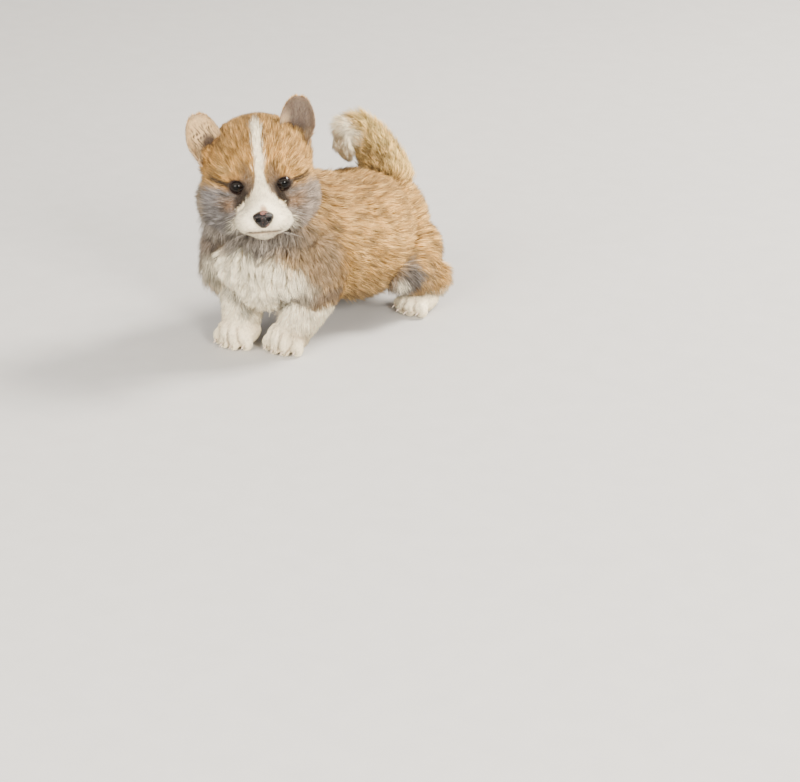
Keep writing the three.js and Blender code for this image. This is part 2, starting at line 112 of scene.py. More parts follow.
# %% [markdown]
# ## Masses of flesh
#
# Under the coat a body is a set of rounded masses: ribs, belly, rump, shoulders, thighs and the skull. Each
# starts as a sphere or a cone of the size that the body has at the tips of the coat, less the coat's depth.
# Modelling one smooth body by pushing points is slow. Joining plain masses, then remeshing and smoothing
# them, gives the soft fillets of flesh at once. The trunk is melted with coarse voxels for wide fillets,
# the head with finer ones. Every mass also remembers its own kind, so that the coat can later tell a muzzle
# from a flank.

# %% Joining and melting
SMOOTHING = 0.5
# masses that wait to be melted, and the parts of the body that are ready to be joined
fresh = []
flesh = []


def deselect():
    bpy.ops.object.select_all(action="DESELECT")


def applied(piece, kind, **settings):
    """Adds a modifier with its settings and applies it."""
    bpy.context.view_layer.objects.active = piece
    modifier = piece.modifiers.new(kind.lower(), kind)
    for name, value in settings.items():
        setattr(modifier, name, value)
    bpy.ops.object.modifier_apply(modifier=modifier.name)


def joined(pieces, name):
    deselect()
    for piece in pieces:
        piece.select_set(True)
    bpy.context.view_layer.objects.active = pieces[0]
    bpy.ops.object.join()
    whole = bpy.context.object
    whole.name = name
    bpy.ops.object.transform_apply(location=True, rotation=True, scale=True)
    return whole


def melted(pieces, name, voxel, rounds):
    """Joins pieces, remeshes them as one closed surface and smooths the creases between them."""
    whole = joined(pieces, name)
    applied(whole, "REMESH", mode="VOXEL", voxel_size=voxel)
    applied(whole, "SMOOTH", factor=SMOOTHING, iterations=rounds)
    return whole


def melt_fresh(name, voxel, rounds):
    flesh.append(melted(fresh, name, voxel, rounds))
    fresh.clear()


# %% A mass, a limb and their memory
masses = []


def remember(kind, start, end, sizes, axes):
    masses.append({"kind": kind, "start": start, "end": end, "sizes": sizes, "axes": axes})


def lump(at, sizes, axes):
    bpy.ops.mesh.primitive_uv_sphere_add(segments=40, ring_count=24)
    fresh.append(bpy.context.object)
    fresh[-1].matrix_world = axes @ Matrix.Translation(at) @ Matrix.Diagonal((*sizes, 1))


def mass(kind, at, sizes, depth, axes=BODY):
    sizes = [size - depth for size in sizes]
    remember(kind, at, at, sizes, axes)
    lump(at, sizes, axes)


def limb(kind, points, radii, depth, axes=BODY):
    for i, (start, end) in enumerate(zip(points, points[1:])):
        near, far = radii[i] - depth, radii[i + 1] - depth
        remember(kind, start, end, (near, far), axes)
        lump(start, (near,) * 3, axes)
        lump(end, (far,) * 3, axes)
        along = Vector(end) - Vector(start)
        bpy.ops.mesh.primitive_cone_add(vertices=32, radius1=near, radius2=far, depth=along.length)
        fresh.append(bpy.context.object)
        middle = Matrix.Translation((Vector(start) + Vector(end)) / 2)
        fresh[-1].matrix_world = axes @ middle @ along.to_track_quat("Z", "Y").to_matrix().to_4x4()


# %% Trunk
TRUNK_DEPTH, BIB_DEPTH, THROAT_DEPTH = 8, 10, 6
TRUNK_VOXEL, TRUNK_ROUNDS = 0.004, 14
deselect()
mass("torso", (-1, -38, 88), (60, 62, 60), TRUNK_DEPTH)
mass("torso", (4, 14, 75), (60, 60, 62), TRUNK_DEPTH)
mass("torso", (0, 56, 72), (49, 47, 52), TRUNK_DEPTH)
limb("torso", [(-1, -38, 88), (4, 14, 76), (0, 56, 73)], [58, 58, 48], TRUNK_DEPTH)
mass("bib", (-4, -86, 80), (59, 40, 50), BIB_DEPTH)
mass("torso", (0, -64, 118), (47, 42, 36), TRUNK_DEPTH)
limb("neck", [(0, -70, 120), (-6, -91, 150)], [46, 40], BIB_DEPTH)
mass("neck", (-34, -102, 114), (25, 24, 26), THROAT_DEPTH)
mass("neck", (26, -82, 116), (22, 24, 24), THROAT_DEPTH)
melt_fresh("trunk", TRUNK_VOXEL, TRUNK_ROUNDS)
print(len(masses), "masses so far")

# %% Legs and paws
# radii down the leg, half sizes of the foot, and depth of the coat on the muscle and on the leg
LEG_FORMS = {
    "foreleg": {"radii": (26, 22, 19), "foot": (20, 22, 16), "muscle_coat": 7, "coat": 4},
    "hindleg": {"radii": (26, 21, 20), "foot": (18, 23, 13), "muscle_coat": 9, "coat": 6},
}
# forelegs, then hind legs, the left one first: muscle, points down the leg, foot and its turn in degrees
LEGS = [
    {"kind": "foreleg", "muscle": ((40, -70, 72), (25, 32, 40)),
     "line": [(36, -66, 74), (32, -70, 48), (22, -82, 22)], "foot": (18, -88), "turn": 12},
    {"kind": "foreleg", "muscle": ((-50, -84, 74), (27, 34, 42)),
     "line": [(-40, -80, 74), (-37, -84, 48), (-27, -98, 22)], "foot": (-24, -105), "turn": 8},
    {"kind": "hindleg", "muscle": ((38, 56, 54), (29, 36, 35)),
     "line": [(36, 60, 52), (49, 28, 45), (46, 74, 26)], "foot": (47, 54), "turn": -6},
    {"kind": "hindleg", "muscle": ((-38, 56, 54), (29, 36, 35)),
     "line": [(-36, 60, 52), (-48, 32, 45), (-46, 76, 26)], "foot": (-46, 56), "turn": -6},
]
SOLE_SINK, PAW_COAT, TOE_COAT = 3, 2.5, 1.6
TOE_RADIUS, TOE_SPREAD = 6.6, 9.6
TOE_PLACES = (-1.5, -0.5, 0.5, 1.5)
INNER_REACH, OUTER_REACH = 0.62, 0.4
TOE_RISE, TOE_THICKNESS = 0.5, 0.6


def toes_of(leg):
    """The heading of a foot, and where each of its toes stands from the innermost to the outermost."""
    length = LEG_FORMS[leg["kind"]]["foot"][1]
    heading = Vector((math.sin(math.radians(leg["turn"])), -math.cos(math.radians(leg["turn"])), 0))
    aside = Vector((-heading.y, heading.x, 0))
    middle = Vector((*leg["foot"], 0))
    toes = []
    for place in TOE_PLACES:
        reach = length * (INNER_REACH if abs(place) < 1 else OUTER_REACH)
        toes.append(middle + heading * reach + aside * place * TOE_SPREAD)
    return heading, toes


for leg in LEGS:
    form = LEG_FORMS[leg["kind"]]
    mass(leg["kind"], *leg["muscle"], form["muscle_coat"])
    limb(leg["kind"], leg["line"], form["radii"], form["coat"])
    height = form["foot"][2]
    mass("paw", (*leg["foot"], height - SOLE_SINK), form["foot"], PAW_COAT)
    for toe in toes_of(leg)[1]:
        toe_sizes = (TOE_RADIUS, TOE_RADIUS, height * TOE_THICKNESS)
        mass("paw", (toe.x, toe.y, height * TOE_RISE), toe_sizes, TOE_COAT)
flesh += fresh
fresh.clear()
print(len(masses), "masses with the legs")

# %% Tail
TAIL = [(0, 70, 104), (0, 62, 126), (-1, 48, 148), (-4, 34, 165),
        (-8, 19, 169), (-10, 18, 156), (-9, 22, 147)]
TAIL_RADII = [16, 13, 10, 7.5, 6.5, 6.5, 5.2]
limb("tail", TAIL, TAIL_RADII, 0)
flesh += fresh
fresh.clear()
print("tail through", len(TAIL), "points")

# %% Head
SKULL_DEPTH, CHEEK_DEPTH, JOWL_DEPTH, MUZZLE_DEPTH, JAW_DEPTH = 3.5, 5, 4, 1, 1.5
EAR_BASE_RADII = (13, 8.5)
HEAD_VOXEL, HEAD_ROUNDS = 0.002, 8
mass("skull", (0, 33, 12), (47, 47, 45), SKULL_DEPTH, HEAD)
mass("cheek", (29, 24, -13), (22, 29, 27), CHEEK_DEPTH, HEAD)
mass("cheek", (-32, 24, -13), (23, 29, 27), CHEEK_DEPTH, HEAD)
limb("muzzle", [(0, 6, -4), (0, -27, -15)], (18, 11.5), MUZZLE_DEPTH, HEAD)
mass("muzzle", (10, -20, -24), (15, 19, 12.5), MUZZLE_DEPTH, HEAD)
mass("muzzle", (-9.5, -20, -24), (14.5, 19, 12.5), MUZZLE_DEPTH, HEAD)
mass("cheek", (25, 6, -21), (16, 19, 19), JOWL_DEPTH, HEAD)
mass("cheek", (-25, 6, -21), (16, 19, 19), JOWL_DEPTH, HEAD)
mass("jaw", (0, -14, -32), (14, 18, 10.5), JAW_DEPTH, HEAD)
limb("skull", [(30, 30, 22), (33, 30, 32)], EAR_BASE_RADII, 0, HEAD)
limb("skull", [(-34, 30, 14), (-40, 30, 24)], EAR_BASE_RADII, 0, HEAD)
melt_fresh("head", HEAD_VOXEL, HEAD_ROUNDS)
print(len(masses), "masses in all")

# %% [markdown]
# ## One skin
#
# All masses are joined and remeshed with small voxels, which leaves a single closed surface with no seam.
# Smoothing then melts the creases where masses meet.

# %% Join, remesh and smooth
SKIN_VOXEL, SKIN_ROUNDS = 0.0014, 8
skin = melted(flesh, "skin", SKIN_VOXEL, SKIN_ROUNDS)
print("skin", len(skin.data.vertices), "points")

# %% [markdown]
# ## Folds of the face and the feet
#
# The eyes lie in sockets, the mouth is a fold between the lips and the chin, and grooves part the toes. A
# bevel or an inset would need clean edges there, and a remeshed skin has none. So they are pressed in with
# soft moves, as with a sculpting brush: each point moves by a share that fades with its distance from the
# brush. The muzzle's sides are smoothed into the cheeks in the same way, and the soles are pressed flat.

# %% Reading and writing points
def points_of(piece):
    flat = np.empty(len(piece.data.vertices) * 3)
    piece.data.vertices.foreach_get("co", flat)
    return flat.reshape(-1, 3)


def set_points(piece, points):
    piece.data.vertices.foreach_set("co", points.ravel())
    piece.data.update()


def normals_of(piece):
    flat = np.empty(len(piece.data.vertices) * 3)
    piece.data.vertex_normals.foreach_get("vector", flat)
    return flat.reshape(-1, 3)


# %% Soft brushes
def fade(x, low, high):
    """Rises softly from 0 at low to 1 at high."""
    t = np.clip((x - low) / (high - low), 0, 1)
    return t * t * (3 - 2 * t)


def spot(points, centre, radii, soft=0.5):
    """One inside an oval, fading to nothing at its edge."""
    away = np.linalg.norm((points - np.array(centre)) / np.array(radii), axis=1)
    return 1 - fade(away, 1 - soft, 1)


def edges_of(piece):
    flat = np.empty(len(piece.data.edges) * 2, dtype=np.int64)
    piece.data.edges.foreach_get("vertices", flat)
    return flat.reshape(-1, 2)


def averaged(values, edges, rounds):
    """Values at the points of a mesh, each mixed again and again with those of its neighbours."""
    count = len(values)
    ends, others = np.concatenate([edges[:, 0], edges[:, 1]]), np.concatenate([edges[:, 1], edges[:, 0]])
    number = np.bincount(ends, minlength=count)[:, None]
    for _ in range(rounds):
        sums = [np.bincount(ends, values[others, k], minlength=count) for k in range(values.shape[1])]
        values = 0.5 * values + 0.5 * np.stack(sums, axis=1) / number
    return values


# %% Where the eyes, the mouth and the toes are
EYE_SPACING, EYE_RADIUS, EYE_RISE, EYE_TURN = 37.5, 7.5, 2, 9
MOUTH_MIDDLE, MOUTH_CURVE = -32.6, 0.005
GROOVE_START, GROOVE_FULL, GROOVE_END, GROOVE_TOP = -6, 3, 14, 24


def gaze(side):
    """The axes of one eyeball: it looks along its own -Y."""
    centre = Matrix.Translation((side * EYE_SPACING / 2, 0, EYE_RISE))
    return HEAD @ centre @ Matrix.Rotation(math.radians(side * EYE_TURN), 4, "Z")


def mouth_line(x):
    """Height of the line of the mouth in the head's axes, for a distance from the middle."""
    return MOUTH_MIDDLE + MOUTH_CURVE * x * x


def toe_gaps(body, width):
    """One on the lines between the toes, fading to nothing at their width."""
    gaps = np.zeros(len(body))
    for leg in LEGS:
        heading, toes = toes_of(leg)
        aside = np.array((-heading.y, heading.x))
        for toe, next_toe in zip(toes, toes[1:]):
            from_gap = body[:, :2] - np.array((toe + next_toe) / 2)[:2]
            ahead = from_gap @ np.array(heading)[:2]
            gap = np.exp(-(from_gap @ aside / width) ** 2) * fade(ahead, GROOVE_START, GROOVE_FULL)
            gaps = np.maximum(gaps, gap * (ahead < GROOVE_END) * (body[:, 2] < GROOVE_TOP))
    return gaps


# %% Smooth the sides of the muzzle
SIDES = (1, -1)
SOFT_ROUNDS = 60
MUZZLE_EDGE, MUZZLE_EDGE_SIZE = (27, -8, -21), (11, 16, 14)


def on_side(side, place):
    """A place on the left side, or its mirror image on the right."""
    return (side * place[0], *place[1:])


points, normals = points_of(skin), normals_of(skin)
skin_edges = edges_of(skin)
softer = averaged(points, skin_edges, SOFT_ROUNDS)
for side in SIDES:
    border = spot(in_axes(points, HEAD), on_side(side, MUZZLE_EDGE), MUZZLE_EDGE_SIZE, 0.8)
    points += (softer - points) * border[:, None]
print("sides of the muzzle smoothed over", MUZZLE_EDGE_SIZE, "mm")

# %% Press in the sockets
EYE_OPENING = (3.75, 2.7)
EYE_FRONT = 20
LID_LEVEL, LID_SLOPE, LID_WHOLE, LID_END = 5.4, 0.7, 1.25, 2.6
SOCKET_DEPTH, SOCKET_WHOLE, SOCKET_END = 5, 0.75, 1.1
for side in SIDES:
    local = in_axes(points, gaze(side))
    across = np.hypot(local[:, 0] / EYE_OPENING[0], local[:, 2] / EYE_OPENING[1])
    before = (local[:, 1] < 0) * (local[:, 1] > -EYE_FRONT)
    level = -LID_LEVEL + LID_SLOPE * (across - 1) - local[:, 1]
    to_lids = (1 - fade(across, LID_WHOLE, LID_END)) * before * level
    sunk = (1 - fade(across, SOCKET_WHOLE, SOCKET_END)) * before * SOCKET_DEPTH
    points += out_of_axes(np.array([[0, 1.0, 0]]), gaze(side)) * ((to_lids + sunk) * MM)[:, None]
print("sockets", SOCKET_DEPTH, "mm deep")

# %% Press in the mouth and the toes' grooves, and flatten the soles
MOUTH_DEPTH, MOUTH_WIDTH, MOUTH_BACK = 1.6, 0.9, -12
MOUTH_CORNER, MOUTH_END = 11, 16
GROOVE_DEPTH, GROOVE_WIDTH = 1.5, 1.3
SOLE_HEIGHT = 0.0004
on_head = in_axes(points, HEAD)
lips = np.exp(-((on_head[:, 2] - mouth_line(on_head[:, 0])) / MOUTH_WIDTH) ** 2)
lips *= (on_head[:, 1] < MOUTH_BACK) * (1 - fade(np.abs(on_head[:, 0]), MOUTH_CORNER, MOUTH_END))
points -= normals * (lips * MOUTH_DEPTH * MM)[:, None]
points -= normals * (toe_gaps(in_axes(points, BODY), GROOVE_WIDTH) * GROOVE_DEPTH * MM)[:, None]
points[:, 2] = np.maximum(points[:, 2], SOLE_HEIGHT)
set_points(skin, points)
print("mouth pressed in by", MOUTH_DEPTH, "mm and toes by", GROOVE_DEPTH, "mm")

# %% [markdown]
# ## The coat's plan
#
# A puppy's coat is short and dense on the muzzle and paws, woolly on the body, and longest on the bib and
# the tail. Each kind of flesh has its own length, width, rise and number of hairs. Near a border the kinds
# are mixed by how close their masses lie, so the coat changes softly.

# %% Hair of each kind of flesh
# length and width in mm, rise from the skin in degrees, roots per square mm, size of a lock in mm and how
# far the tips in it lean together
HAIR = {
    "torso": (15, 0.52, 30, 0.9, 5.2, 0.5),
    "bib": (20, 0.54, 36, 1.0, 7.5, 0.68),
    "neck": (17, 0.5, 36, 1.05, 6.0, 0.5),
    "foreleg": (9, 0.46, 24, 1.1, 4.0, 0.36),
    "hindleg": (13, 0.5, 32, 1.0, 5.0, 0.45),
    "paw": (3.4, 0.36, 15, 2.6, 2.4, 0.15),
    "tail": (18, 0.52, 40, 1.5, 4.5, 0.28),
    "skull": (9, 0.4, 23, 1.5, 4.2, 0.34),
    "cheek": (12, 0.44, 30, 1.5, 5.0, 0.46),
    "muzzle": (3.6, 0.32, 22, 3.6, 2.2, 0.2),
    "jaw": (4.4, 0.36, 22, 2.8, 2.4, 0.2),
}
KINDS = list(HAIR)
KIND_REACH, KIND_DEPTH = 2.6, 8


def away_from(m, points):
    """How far points of the frame lie outside one mass, in mm."""
    local = in_axes(points, m["axes"])
    start, end = np.array(m["start"]), np.array(m["end"])
    if len(m["sizes"]) == 3:
        scaled = (local - start) / np.array(m["sizes"])
        return (np.linalg.norm(scaled, axis=1) - 1) * min(m["sizes"])
    along = end - start
    share = np.clip((local - start) @ along / (along @ along), 0, 1)
    radius = m["sizes"][0] + (m["sizes"][1] - m["sizes"][0]) * share
    return np.linalg.norm(local - start - share[:, None] * along, axis=1) - radius


def kinds_at(points):
    """The share of each kind of flesh at some points, one column a kind."""
    columns = []
    for kind in KINDS:
        nearest = np.min([away_from(m, points) for m in masses if m["kind"] == kind], axis=0)
        columns.append(np.exp(-np.maximum(nearest, -KIND_DEPTH) / KIND_REACH))
    shares = np.stack(columns, axis=1)
    return shares / shares.sum(axis=1, keepdims=True)


def of_kinds(shares, *names):
    return sum(shares[:, KINDS.index(name)] for name in names)


skin_points, skin_normals = points_of(skin), normals_of(skin)
skin_kinds = kinds_at(skin_points)
print("most of the skin is", KINDS[int(skin_kinds.sum(axis=0).argmax())])

# %% [markdown]
# ## The lie of the coat
#
# Hair grows away from the nose over the face, turns round the eyes and the feet of the ears, and lies
# backwards over the body, down the legs and the bib, and along the tail. One direction is given for each
# kind, laid flat on the skin, and then averaged again and again with its neighbours, so that the whole coat
# flows in one smooth field without a parting.

# %% Directions of the hair
NOSE_TIP = (0, -42, -19)
EAR_FOOT, EAR_FLOW = (33, 28, 28), (0.4, 0.2, 1.0)
EAR_FLOW_WHOLE, EAR_FLOW_END = 12, 24
EYE_FLOW, EYE_FLOW_WHOLE, EYE_FLOW_END = 3.0, 8, 19
EYE_FLOW_AT = (EYE_SPACING / 2 + 1, -6, EYE_RISE)
CROWN_START, CROWN_END = 5, 40
CHEEK_LOW, CHEEK_HIGH = -25, 5
BIB_SPREAD, BIB_SWIRL = 75, 0.5
NECK_SPREAD, NECK_FRONT, NECK_BACK = 130, -110, -70
SADDLE_FRONT, SADDLE_BACK = -20, 60
THIGH_LOW, THIGH_HIGH = 36, 76
FLOW_ROUNDS = 30


def unit(vectors):
    return vectors / np.maximum(np.linalg.norm(vectors, axis=1, keepdims=True), 1e-9)


def flat_on(vectors, normals):
    return unit(vectors - normals * np.sum(vectors * normals, axis=1, keepdims=True))


def along_tail(points):
    local = in_axes(points, BODY)
    best = np.full(len(local), 1e9)
    along = np.zeros_like(local)
    for start, end in zip(TAIL, TAIL[1:]):
        a, b = np.array(start, float), np.array(end, float)
        share = np.clip((local - a) @ (b - a) / ((b - a) @ (b - a)), 0, 1)
        far = np.linalg.norm(local - a - share[:, None] * (b - a), axis=1)
        along[far < best] = (b - a) / np.linalg.norm(b - a)
        best = np.minimum(best, far)
    return along


def lie_of_face(head):
    """The lie of the face's hair, in the head's axes."""
    face = unit(head - np.array(NOSE_TIP))
    down = 0.35 + 0.5 * (1 - fade(head[:, 2], CHEEK_LOW, CHEEK_HIGH))
    face[:, 2] -= down * fade(head[:, 1], CROWN_START, CROWN_END)
    for side in SIDES:
        from_eye = head - np.array(on_side(side, EYE_FLOW_AT))
        near = 1 - fade(np.linalg.norm(from_eye, axis=1), EYE_FLOW_WHOLE, EYE_FLOW_END)
        face += unit(from_eye) * (EYE_FLOW * near)[:, None]
        off_ear = np.linalg.norm(head - np.array(on_side(side, EAR_FOOT)), axis=1)
        near = 1 - fade(off_ear, EAR_FLOW_WHOLE, EAR_FLOW_END)
        face += np.array(on_side(side, EAR_FLOW)) * near[:, None]
    return face


def lie_of(points, shares):
    """The lie of the hair at some points, before it is laid flat on the skin."""
    face = out_of_axes(lie_of_face(in_axes(points, HEAD)), HEAD)
    x, y, z = in_axes(points, BODY).T
    one = np.ones(len(points))
    swirl = BIB_SWIRL * np.sin(x / 7.5 + 1.8 * np.sin(z / 12))
    thigh = fade(z, THIGH_LOW, THIGH_HIGH)
    ways = {
        "torso": np.stack([0 * one, one, 0.6 * fade(y, SADDLE_FRONT, SADDLE_BACK) - 0.45], axis=1),
        "bib": np.stack([x / BIB_SPREAD + swirl, -0.1 * one, -one], axis=1),
        "neck": np.stack([x / NECK_SPREAD, 0.7 * fade(y, NECK_FRONT, NECK_BACK), -0.9 * one], axis=1),
        "foreleg": np.stack([0 * one, 0.25 * one, -one], axis=1),
        "hindleg": np.stack([0 * one, 0.55 + 0.6 * thigh, 0.5 * thigh - 1], axis=1),
        "paw": np.stack([0 * one, -one, -0.5 * one], axis=1),
        "tail": along_tail(points),
    }
    total = np.zeros_like(points)
    for name in KINDS:
        total += unit(ways.get(name, face)) * of_kinds(shares, name)[:, None]
    return total


skin_lie = flat_on(lie_of(skin_points, skin_kinds), skin_normals)
skin_lie = flat_on(averaged(skin_lie, skin_edges, FLOW_ROUNDS), skin_normals)
print("the coat flows over", len(skin_edges), "edges of the skin")

# %% [markdown]
# ## Markings
#
# The puppy is sandy fawn, browner along the back and golden on the tail. The blaze, muzzle, bib, lower legs
# and tail tip are white, the cheeks, collar, shoulders and knees grey, the brows pale, and the eyes have a
# dark rim. A painted image would need an unwrap without seams. Instead the colours come from soft ovals and
# bands in the axes of the head and body, and the skin and every hair ask the same function, so they always
# agree. Waves move the places a little, so that no edge is a clean curve.

# %% Colours of the coat
WHITE = (0.97, 0.885, 0.68)
SANDY = (0.61, 0.345, 0.10)
FAWN = (0.58, 0.32, 0.09)
BROWN = (0.27, 0.145, 0.055)
BUFF = (0.76, 0.50, 0.19)
GOLD = (0.95, 0.71, 0.27)
GREY = (0.19, 0.175, 0.158)
CHEEK = (0.142, 0.142, 0.15)
SMOKE = (0.095, 0.09, 0.09)
DARK = (0.035, 0.026, 0.02)
LIP = (0.045, 0.022, 0.018)
# painted shade for the gaps between the toes
TOE_GAP_SHADE = (0.42, 0.33, 0.23)
BLUSH = (0.50, 0.27, 0.20)
CREAM = (0.84, 0.57, 0.23)
SABLE = (0.24, 0.155, 0.08)


def plain(colour, count):
    """One colour for a number of points."""
    return np.tile(np.array(colour), (count, 1))


def mixed(below, above, share):
    """The colours below, covered by another colour to a share."""
    return below + (np.array(above) - below) * np.clip(share, 0, 1)[:, None]


# %% Ragged edges and bands
BAND_CORE, FACE_BACK = 0.45, 12


def ragged(points, reach, size):
    """Points moved to and fro in waves, so that the edge of a marking is uneven."""
    waves = points / size
    moves = []
    for k in range(3):
        next_axis, last_axis = waves[:, (k + 1) % 3], waves[:, (k + 2) % 3]
        moves.append(np.sin(6.1 * next_axis + k) * np.cos(4.7 * last_axis + 2 * k))
    return points + reach * np.stack(moves, axis=1)


def band(points, start, end, width):
    """One near a line between two points as seen from the front, fading to nothing at its edge."""
    flat = points[:, [0, 2]]
    a, along = np.array(start), np.array(end) - np.array(start)
    share = np.clip((flat - a) @ along / (along @ along), 0, 1)
    away = np.linalg.norm(flat - a - share[:, None] * along, axis=1)
    return (1 - fade(away, BAND_CORE * width, width)) * (points[:, 1] < FACE_BACK)


# %% Markings of the back, the front and the tail
BODY_RAGGED, BODY_WAVES = 3.5, 26
BACK_LOW, BACK_HIGH, WITHERS_FRONT, WITHERS_BACK = 98, 130, -80, -50
RUMP_FRONT, RUMP_BACK = 62, 100
BELLY_LOW, BELLY_HIGH, GROIN_FRONT, GROIN_BACK = 30, 66, 45, 70
TAIL_HEIGHTS, TAIL_MIDDLES = (104, 126, 148, 165), (70, 62, 48, 34)
TIP_LOW, TIP_HIGH = 174, 179
TIP_HEIGHTS, TIP_BACKS = (150, 158, 180), (37, 31, 18)
# ovals of the front: left shoulder, collar, right shoulder, bib and right elbow, each with its colour,
# strength, centre, radii and softness; the grey collar under the chin, the smoky right shoulder and the dark
# right elbow are partly grey fur and partly painted shade
FRONT_OVALS = [
    (GREY, 0.62, (50, -84, 90), (38, 40, 54), 0.7),
    (GREY, 0.95, (-4, -112, 118), (76, 46, 40), 0.5),
    (SMOKE, 0.9, (-60, -100, 90), (36, 44, 52), 0.5),
    (WHITE, 1.0, (2, -116, 60), (67, 50, 41), 0.22),
    (DARK, 0.9, (-44, -118, 60), (18, 18, 16), 0.5),
]


def trunk_colours(body, shares):
    """The back, the belly, the tail and the ovals of the front."""
    y, z = body[:, 1], body[:, 2]
    tail = of_kinds(shares, "tail")
    back = fade(z, BACK_LOW, BACK_HIGH) * fade(y, WITHERS_FRONT, WITHERS_BACK)
    tint = mixed(plain(SANDY, len(body)), BROWN, 0.5 * back * (1 - tail))
    tint = mixed(tint, BUFF, 0.8 * fade(y, RUMP_FRONT, RUMP_BACK))
    # the belly greyer towards the underside: partly its own greyish fawn, partly painted shade
    belly = (1 - fade(z, BELLY_LOW, BELLY_HIGH)) * (1 - fade(y, GROIN_FRONT, GROIN_BACK))
    tint = mixed(tint, GREY, 0.4 * belly)
    # the tail golden on its outer side and greyer inside its curl: partly its own colour, partly painted
    # sunlight and painted shade
    behind_tail = fade(y - np.interp(z, TAIL_HEIGHTS, TAIL_MIDDLES), -12, 2)
    tint = mixed(tint, GOLD, (0.35 + 0.6 * behind_tail) * tail)
    tint = mixed(tint, GREY, 0.22 * (1 - behind_tail) * tail)
    # the collar, right shoulder and right elbow ovals lay down grey fur and painted shade together
    for colour, strength, centre, radii, soft in FRONT_OVALS:
        tint = mixed(tint, colour, strength * spot(body, centre, radii, soft))
    return tint


def tip_of_tail(body):
    """One on the hanging end of the tail, in front of its shaft."""
    y, z = body[:, 1], body[:, 2]
    before_shaft = 1 - fade(y - np.interp(z, TIP_HEIGHTS, TIP_BACKS), -2, 2)
    return before_shaft * (1 - fade(z, TIP_LOW, TIP_HIGH))


# %% Markings of the legs, and painted shade in the bib's creases
SOCK_LOW, SOCK_HIGH, BREAST_MIDDLE, BREAST_WHOLE, BREAST_END = 42, 50, -2, 20, 34
CREASES_BACK = -60
# painted shade in the creases where the bib meets the legs, and a brown band where the shoulder's hair lies
# over the right leg, greyed with painted shade: colour, strength, ends as seen from the front, and width
BIB_BANDS_AND_CREASE_SHADE = [
    (BROWN, 0.5, (35, 58), (66, 57), 11),
    (GREY, 0.5, (35, 58), (66, 57), 11),
    (GREY, 0.6, (9, 38), (30, 62), 6),
    (GREY, 0.5, (-38, 52), (-14, 35), 8),
]
KNEE, KNEE_SIZE = (54, 16, 44), (30, 24, 30)
KNEE_PATCH, KNEE_PATCH_SIZE = (60, 12, 34), (16, 8, 17)
HOCK_LOW, HOCK_HIGH, HEEL_FRONT, HEEL_BACK, HEEL_LOW, HEEL_HIGH = 20, 28, 74, 88, 7, 11
TOE_LINE = 0.9


def body_colours(body, shares):
    """Colours of the body at points in its own axes."""
    body = ragged(body, BODY_RAGGED, BODY_WAVES)
    x, y, z = body.T
    tint = trunk_colours(body, shares)
    forelegs = of_kinds(shares, "foreleg")
    tint = mixed(tint, WHITE, forelegs * (1 - fade(z, SOCK_LOW, SOCK_HIGH)))
    tint = mixed(tint, WHITE, forelegs * (1 - fade(np.abs(x - BREAST_MIDDLE), BREAST_WHOLE, BREAST_END)))
    # painted shade in the bib's creases, and the brown band over the right leg
    for colour, strength, start, end, width in BIB_BANDS_AND_CREASE_SHADE:
        tint = mixed(tint, colour, strength * (y < CREASES_BACK) * band(body, start, end, width))
    hind = of_kinds(shares, "hindleg")
    for side in SIDES:
        # smoky knees: partly grey fur, partly painted shade on the front of the thigh
        knee = spot(body, on_side(side, KNEE), KNEE_SIZE, 0.35)
        tint = mixed(tint, SMOKE, 0.95 * hind * knee)
        tint = mixed(tint, WHITE, 0.85 * hind * spot(body, on_side(side, KNEE_PATCH), KNEE_PATCH_SIZE))
    heel = fade(y, HEEL_FRONT, HEEL_BACK) * fade(z, HEEL_LOW, HEEL_HIGH)
    tint = mixed(tint, WHITE, hind * (1 - fade(z, HOCK_LOW, HOCK_HIGH)) * (1 - heel))
    paws = of_kinds(shares, "paw")
    tint = mixed(tint, WHITE, paws)
    # painted shade in the gaps between the toes
    tint = mixed(tint, TOE_GAP_SHADE, 0.55 * toe_gaps(body, TOE_LINE) * paws)
    return mixed(tint, WHITE, tip_of_tail(body) * of_kinds(shares, "tail"))


# %% Markings of the head
HEAD_RAGGED, HEAD_WAVES, CLEAN_LIPS = 0.8, 11, -33
CROWN_LOW, CROWN_HIGH = 14, 40
CHEEK_TOP, CHEEK_BLEND, CHEEK_INNER, CHEEK_OUTER = -5, 4, 11, 17
TEMPLE_INNER, TEMPLE_OUTER = 42, 50
BLAZE_HEIGHTS = (-26, -16, -10, -4, 4, 10, 30, 46, 52)
BLAZE_WIDTHS = (24, 20, 14, 8.5, 5, 3.5, 3.1, 4.2, 0)
BLAZE_BACK, LIP_LEVEL = 26, -27
LINE_WIDTH, LINE_WHOLE, LINE_END = 1.3, 12, 16
BROW, BROW_SIZE = (27, -4, 14), (13, 16, 7)
# ovals round each eye: inner corner, under the eye and the cheek's top
EYE_OVALS = [
    (SMOKE, 0.65, (11, -10, 4), (8, 18, 20), 0.6),
    (SMOKE, 0.8, (17, -8, -3), (15, 18, 16), 0.6),
    (BROWN, 0.5, (27, -2, -13), (9, 14, 9), 0.8),
]
TEAR_TOP, TEAR_FOOT, TEAR_WIDTH = (15, -2), (19.5, -15), 4.8
RIM, RIM_SIZE = (19.5, -6, 1.5), (10, 15, 8)
LASH_START, LASH_END, LASH_WIDTH = (25, 3), (38, 5.5), 3.2
NOSE_BRIDGE, NOSE_BRIDGE_SIZE = (0.5, -38, -12), (4.5, 9, 5)


